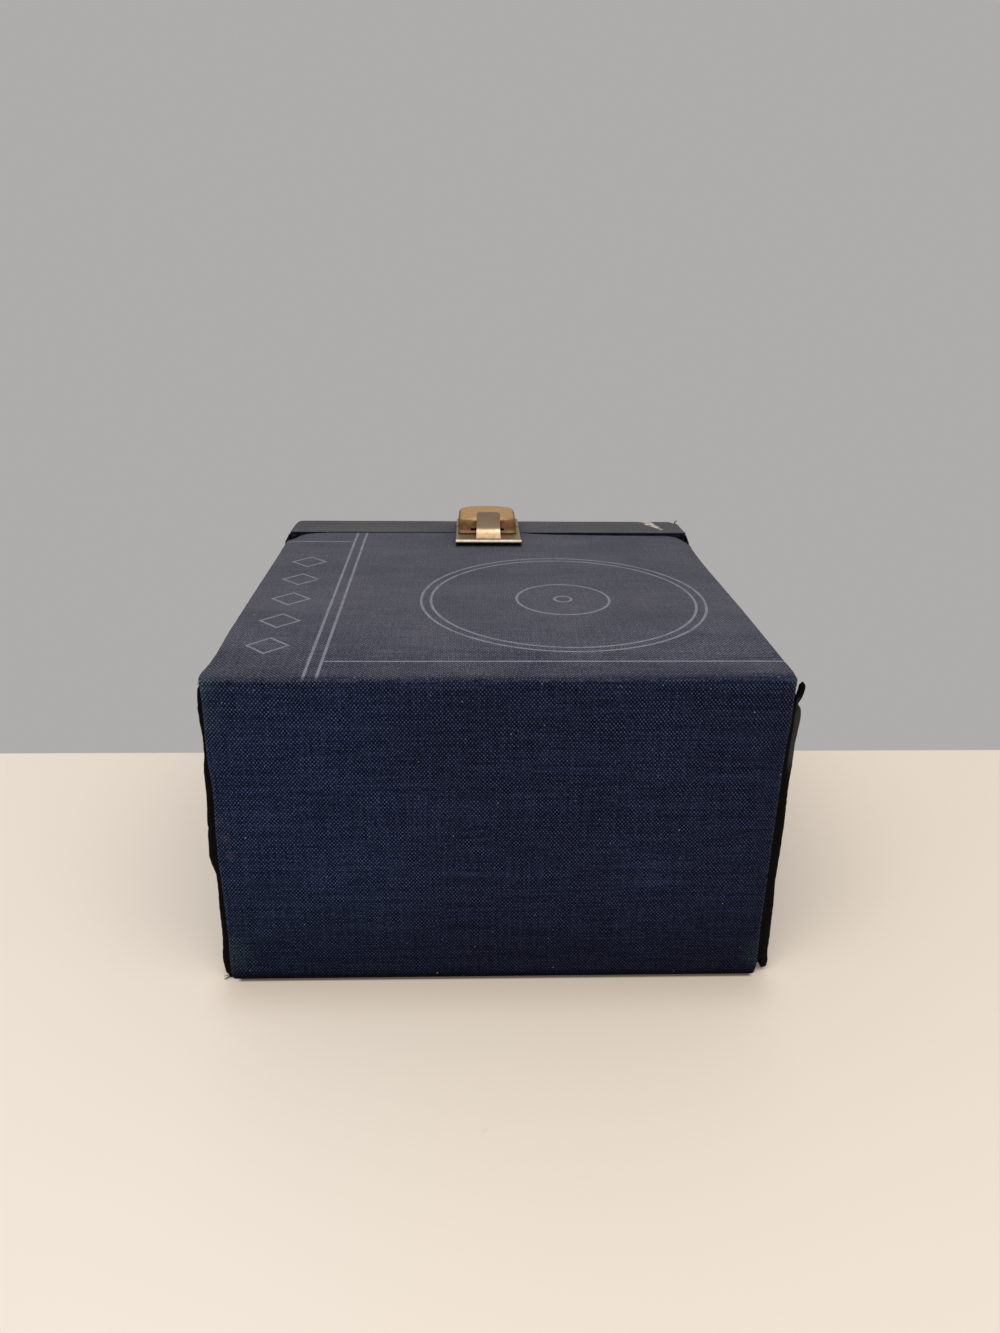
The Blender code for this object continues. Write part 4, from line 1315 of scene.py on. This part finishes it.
def hood_shell(inset):
    """Rings of the hood from foot to crown, as lists of points about the middle of its foot."""
    half_x = (HOOD_HIGH.x - HOOD_LOW.x) / 2 - inset
    half_y = (HOOD_FAR - HOOD_LOW.y) / 2 - inset
    height = HOOD_HIGH.z + HOOD_RISE - HOOD_LOW.z - inset
    top_round = HOOD_TOP_ROUND - inset
    straight_up = height - top_round
    levels = [(HOOD_DRAFT * t, straight_up * t) for t in (0.0, 0.12, 0.5, 1.0)]
    for i in range(1, 8):
        angle = math.radians(90 * i / 7)
        drawn_in, up = top_round * (1 - math.cos(angle)), top_round * math.sin(angle)
        levels.append((HOOD_DRAFT + drawn_in, straight_up + up))
    first = levels[-1][0]
    levels += [(first + (half_y - 0.05 * MM - first) * i / 6, height) for i in range(1, 7)]
    rings = []
    for drawn_in, z in levels:
        corner = max(HOOD_CORNER - inset - drawn_in * 0.4, 0.4 * MM)
        forward = HOOD_LEAN * min(drawn_in, first)
        ring = []
        for x, y in rounded_rectangle(half_x - drawn_in, half_y - drawn_in, corner):
            crown = HOOD_CROWN * (x / half_x) ** 2 + 0.2 * MM * (y / half_y) ** 2
            ring.append(Vector((x, y + forward, z - ease(z / height) * crown)))
        rings.append(ring)
    return rings


def clasp_hood():
    """The domed hood: a drawn shell with a crowned top, and a slot in its near wall."""
    rings = hood_shell(HOOD_SHEET)[::-1] + hood_shell(0.0)
    middle = Vector((0, (HOOD_LOW.y + HOOD_FAR) / 2, HOOD_LOW.z))
    points = [middle + p for ring in rings for p in ring]
    wide = len(rings[0])
    caps = [tuple(range(wide)), tuple(range(len(points) - wide, len(points)))]
    hood = finish_mesh("clasp_hood", points, tube_faces(len(rings), wide) + caps)
    slot_z = HOOD_LOW.z + SLOT_FOOT
    low = (-SLOT_HALF, HOOD_LOW.y - 1 * MM, slot_z)
    high = (SLOT_HALF, HOOD_LOW.y + 3 * MM, slot_z + SLOT_HEIGHT)
    cut(hood, block("slot_cutter", low, high, bevel=0.4 * MM, segments=3))
    hood.data.shade_smooth()
    hood.data.set_sharp_from_angle(angle=math.radians(45))
    return dress(hood, "hasp", "hood", ("hasp_hood",))


def curl(name, body, finish, lead, way, low_x, high_x):
    """A strip of sheet that runs up to the pin and curls round it.

    lead is how far the strip runs before it meets the pin's radius, and way is 1 where it
    comes from +Y and -1 where it comes from -Y.
    """
    radius = CURL_RADIUS + CURL_SHEET / 2
    path = [Vector((PIN.y + way * run, PIN.z - radius)) for run in (lead, lead / 2)]
    path += arc(PIN.yz, radius, -90, way * 290, 14)
    xs = stations(low_x, high_x, 2 * MM, (0.15, 0.4))
    return dress(sweep(name, path, xs, CURL_SHEET, way, sharp=60), body, finish)


TONGUE_SHEET = 0.8 * MM
TONGUE_TIP_HALF = 5.7 * MM
TONGUE_FOOT_HALF = 5.9 * MM
TONGUE_BEND = 3.0 * MM
TONGUE_EXTRA = 1.0 * MM
TONGUE_TIP_CORNER = 1.3 * MM


def clasp_tongue():
    """The sprung tongue: foot, concave sweep and upright, a little wider at the foot, with its lug."""
    stand_y = HOOD_LOW.y - 0.9 * MM
    foot_z = TONGUE_LOW.z + TONGUE_SHEET
    corners = [
        (TONGUE_LOW.y, foot_z, 0),
        (stand_y - TONGUE_SHEET, foot_z, TONGUE_BEND),
        (stand_y - TONGUE_SHEET, TONGUE_HIGH.z + TONGUE_EXTRA, 0),
    ]
    path = rounded_path(corners, 0.7 * MM, steps=12)
    run = lengths_along(path)

    def shape(at, v):
        """The strip's width at each place, with round corners at its tip."""
        half = TONGUE_FOOT_HALF + (TONGUE_TIP_HALF - TONGUE_FOOT_HALF) * ease(v / run[-1] * 1.3)
        short = TONGUE_TIP_CORNER - (run[-1] - v)
        if short > 0:
            half -= TONGUE_TIP_CORNER - math.sqrt(TONGUE_TIP_CORNER**2 - short**2)
        return Vector((at.x * half, at.y, at.z))

    spots = [-1, -0.985, -0.95, -0.85] + [i / 10 for i in range(-7, 8)] + [0.85, 0.95, 0.985, 1]
    tongue = sweep("clasp_tongue", path, spots, TONGUE_SHEET, -1, run, shape, sharp=50)
    ease_edges(tongue, 0.16 * MM, angle=50)
    lug_z = HOOD_LOW.z + SLOT_FOOT + 0.1 * MM
    low, high = (-4.5 * MM, stand_y - 0.6 * MM, lug_z), (4.5 * MM, TONGUE_HIGH.y, lug_z + 1.0 * MM)
    lug = block("tongue_catch_lug", low, high, bevel=0.2 * MM)
    return dress(lug, "tongue", "tongue"), dress(tongue, "tongue", "tongue", ("spring_tongue",))


def refined(node, name, body, finish, bevel=0.0):
    """A welded, smooth copy of a CAD node, with its sharp edges slightly rounded when a bevel is given."""
    work = bmesh.new()
    work.from_mesh(frame["nodes"][node].data)
    bmesh.ops.remove_doubles(work, verts=work.verts, dist=0.004 * MM)
    bmesh.ops.dissolve_limit(
        work, angle_limit=math.radians(0.5), verts=work.verts, edges=work.edges, delimit={"NORMAL"}
    )
    obj = smooth_object(name, work, sharp=38)
    if bevel:
        ease_edges(obj, bevel, angle=45)
    return dress(obj, body, finish, (node,))


def clasp():
    """The clasp sits a little to the left of the middle, and its hood a little more so."""
    low_x, high_x = PLATE_KNUCKLE
    hood = clasp_hood()
    others = [
        *clasp_tongue(),
        curl("hood_knuckle", "hasp", "hood", 2.9 * MM, -1, -HOOD_KNUCKLE, HOOD_KNUCKLE),
        curl("left_plate_knuckle", "lid", "plate", 1.6 * MM, 1, -high_x, -low_x),
        curl("right_plate_knuckle", "lid", "plate", 1.6 * MM, 1, low_x, high_x),
        refined("body_clasp_plate", "body_plate", "case", "plate", CLASP_EDGE),
        refined("lid_clasp_plate", "lid_plate", "lid", "plate", CLASP_EDGE),
        refined("hasp_pin", "clasp_pin", "lid", "rivet", CLASP_EDGE),
    ]
    for owner, body in (("body", "case"), ("lid", "lid")):
        for node in (f"{owner}_left_rivet", f"{owner}_right_rivet"):
            others.append(refined(node, f"{node}_turned", body, "rivet"))
    for piece in others:
        piece.data.transform(Matrix.Translation((CLASP_SHIFT, 0, 0)))
    hood.data.transform(Matrix.Translation((HOOD_SHIFT, 0, 0)))


# Stage, light and camera

TABLE_HALF = 0.75
TABLE_NEAR = -1.4
TABLE_FAR = SEAM - 1.5 * MM
TABLE_DEPTH = 0.6
BACKDROP = (0.425, 0.415, 0.408)
SKY = (0.92, 0.93, 1.0)
SKY_STRENGTH = 0.60
TABLE_TONES = ((0.845, 0.765, 0.655), (0.815, 0.730, 0.615))
TABLE_WARM = (0.800, 0.700, 0.570)
TABLE_SHADE = (0.300, 0.180, 0.100)
TABLE_CONTACT_SHADOW = (0.030, 0.018, 0.012)
TABLE_MARKS = (0.600, 0.540, 0.460)


def stage():
    """A pale table that ends at the lid's hinge line, so that the lid opens in free air."""
    low, high = (-TABLE_HALF, TABLE_NEAR, -TABLE_DEPTH), (TABLE_HALF, TABLE_FAR, 0.0)
    table = block("table", low, high, bevel=3 * MM, segments=4)
    look = Look("table_finish")
    at, x, y, _ = look.places()
    look.colour = look.mix(look.noise(at, 0.22, detail=3), *TABLE_TONES)
    look.paint(y.band(-0.30, 0.02) * 0.35 + x.band(-0.12, 0.12) * 0.55, TABLE_WARM)

    # Painted soft shade and a painted thin line of contact shadow at the box's foot, but not where the open
    # lid would hang
    in_front = y.band(BOTTOM + 8 * MM, BOTTOM + 4 * MM)
    foot = in_front * y.band(BOTTOM - 26 * MM, BOTTOM) * x.near(0.0, HALF - 6 * MM, 16 * MM)
    look.paint(foot * 0.25, TABLE_SHADE)
    line = in_front * y.band(BOTTOM - 1.6 * MM, BOTTOM - 0.4 * MM) * x.near(0.0, HALF - 4 * MM, 2 * MM)
    look.paint(line * 0.85, TABLE_CONTACT_SHADOW)
    marks = look.noise(at, 9 * MM, detail=4, rough=0.7, stretch=(2, 1, 1), shift=4.0)
    look.paint(marks.band(0.70, 0.80) * 0.25, TABLE_MARKS)
    look.bump((marks, 0.05 * MM))
    table.data.materials.append(look.finish(0.55))


def world():
    """Soft sky light; the camera and reflections see the plain wall instead."""
    made = bpy.data.worlds.new("studio")
    bpy.context.scene.world = made
    made.use_nodes = True
    made.node_tree.nodes.clear()
    nodes = Nodes(made.node_tree)
    rays = [nodes.node("LightPath", out=f"Is {kind} Ray") for kind in ("Camera", "Glossy", "Transmission")]
    lights = [nodes.node("Background", *light) for light in ((SKY, SKY_STRENGTH), (BACKDROP, 1.0))]
    nodes.node("OutputWorld", nodes.node("MixShader", nodes.most(*rays), *lights))


def lamp(name, at, target, size, power, colour):
    light = bpy.data.lights.new(name, "AREA")
    light.shape = "SQUARE"
    light.size = size
    light.energy = power
    light.color = colour
    obj = add(name, light)
    obj.location = at
    obj.rotation_euler = (Vector(target) - Vector(at)).to_track_quat("-Z", "Y").to_euler()


def camera():
    data = bpy.data.cameras.new("camera")
    data.lens = CAMERA_LENS
    obj = add("camera", data)
    obj.location = CAMERA_AT
    obj.rotation_euler = Euler([math.radians(a) for a in CAMERA_TURN])
    bpy.context.scene.camera = obj


covers()
cloth_hinge()
inner_hinge_tape()
crushed_front_board()
worn_board("back_board", 4.5 * MM, (0, 1))
worn_board("right_board", 4.0 * MM, (1, 2))
for owner in ("case", "lid"):
    for way in (-1, 1):
        side_cover(owner, way)
peeled_strip()
for way in (-1, 1):
    for make in (rim_binding, edge_turn_in):
        for owner in ("case", "lid"):
            make(owner, way)
frays()
lid_wall_paper()
carried_over()
clasp()
stage()
world()
lamp("window", (-0.95, -1.6, 2.6), (0, 0, 0.05), 2.2, 49, (1.0, 0.97, 0.93))
lamp("fill", (0.9, -1.4, 2.7), (0, 0, 0.05), 2.2, 29, (1.0, 0.97, 0.95))
camera()
bpy.context.scene.view_settings.view_transform = "Standard"
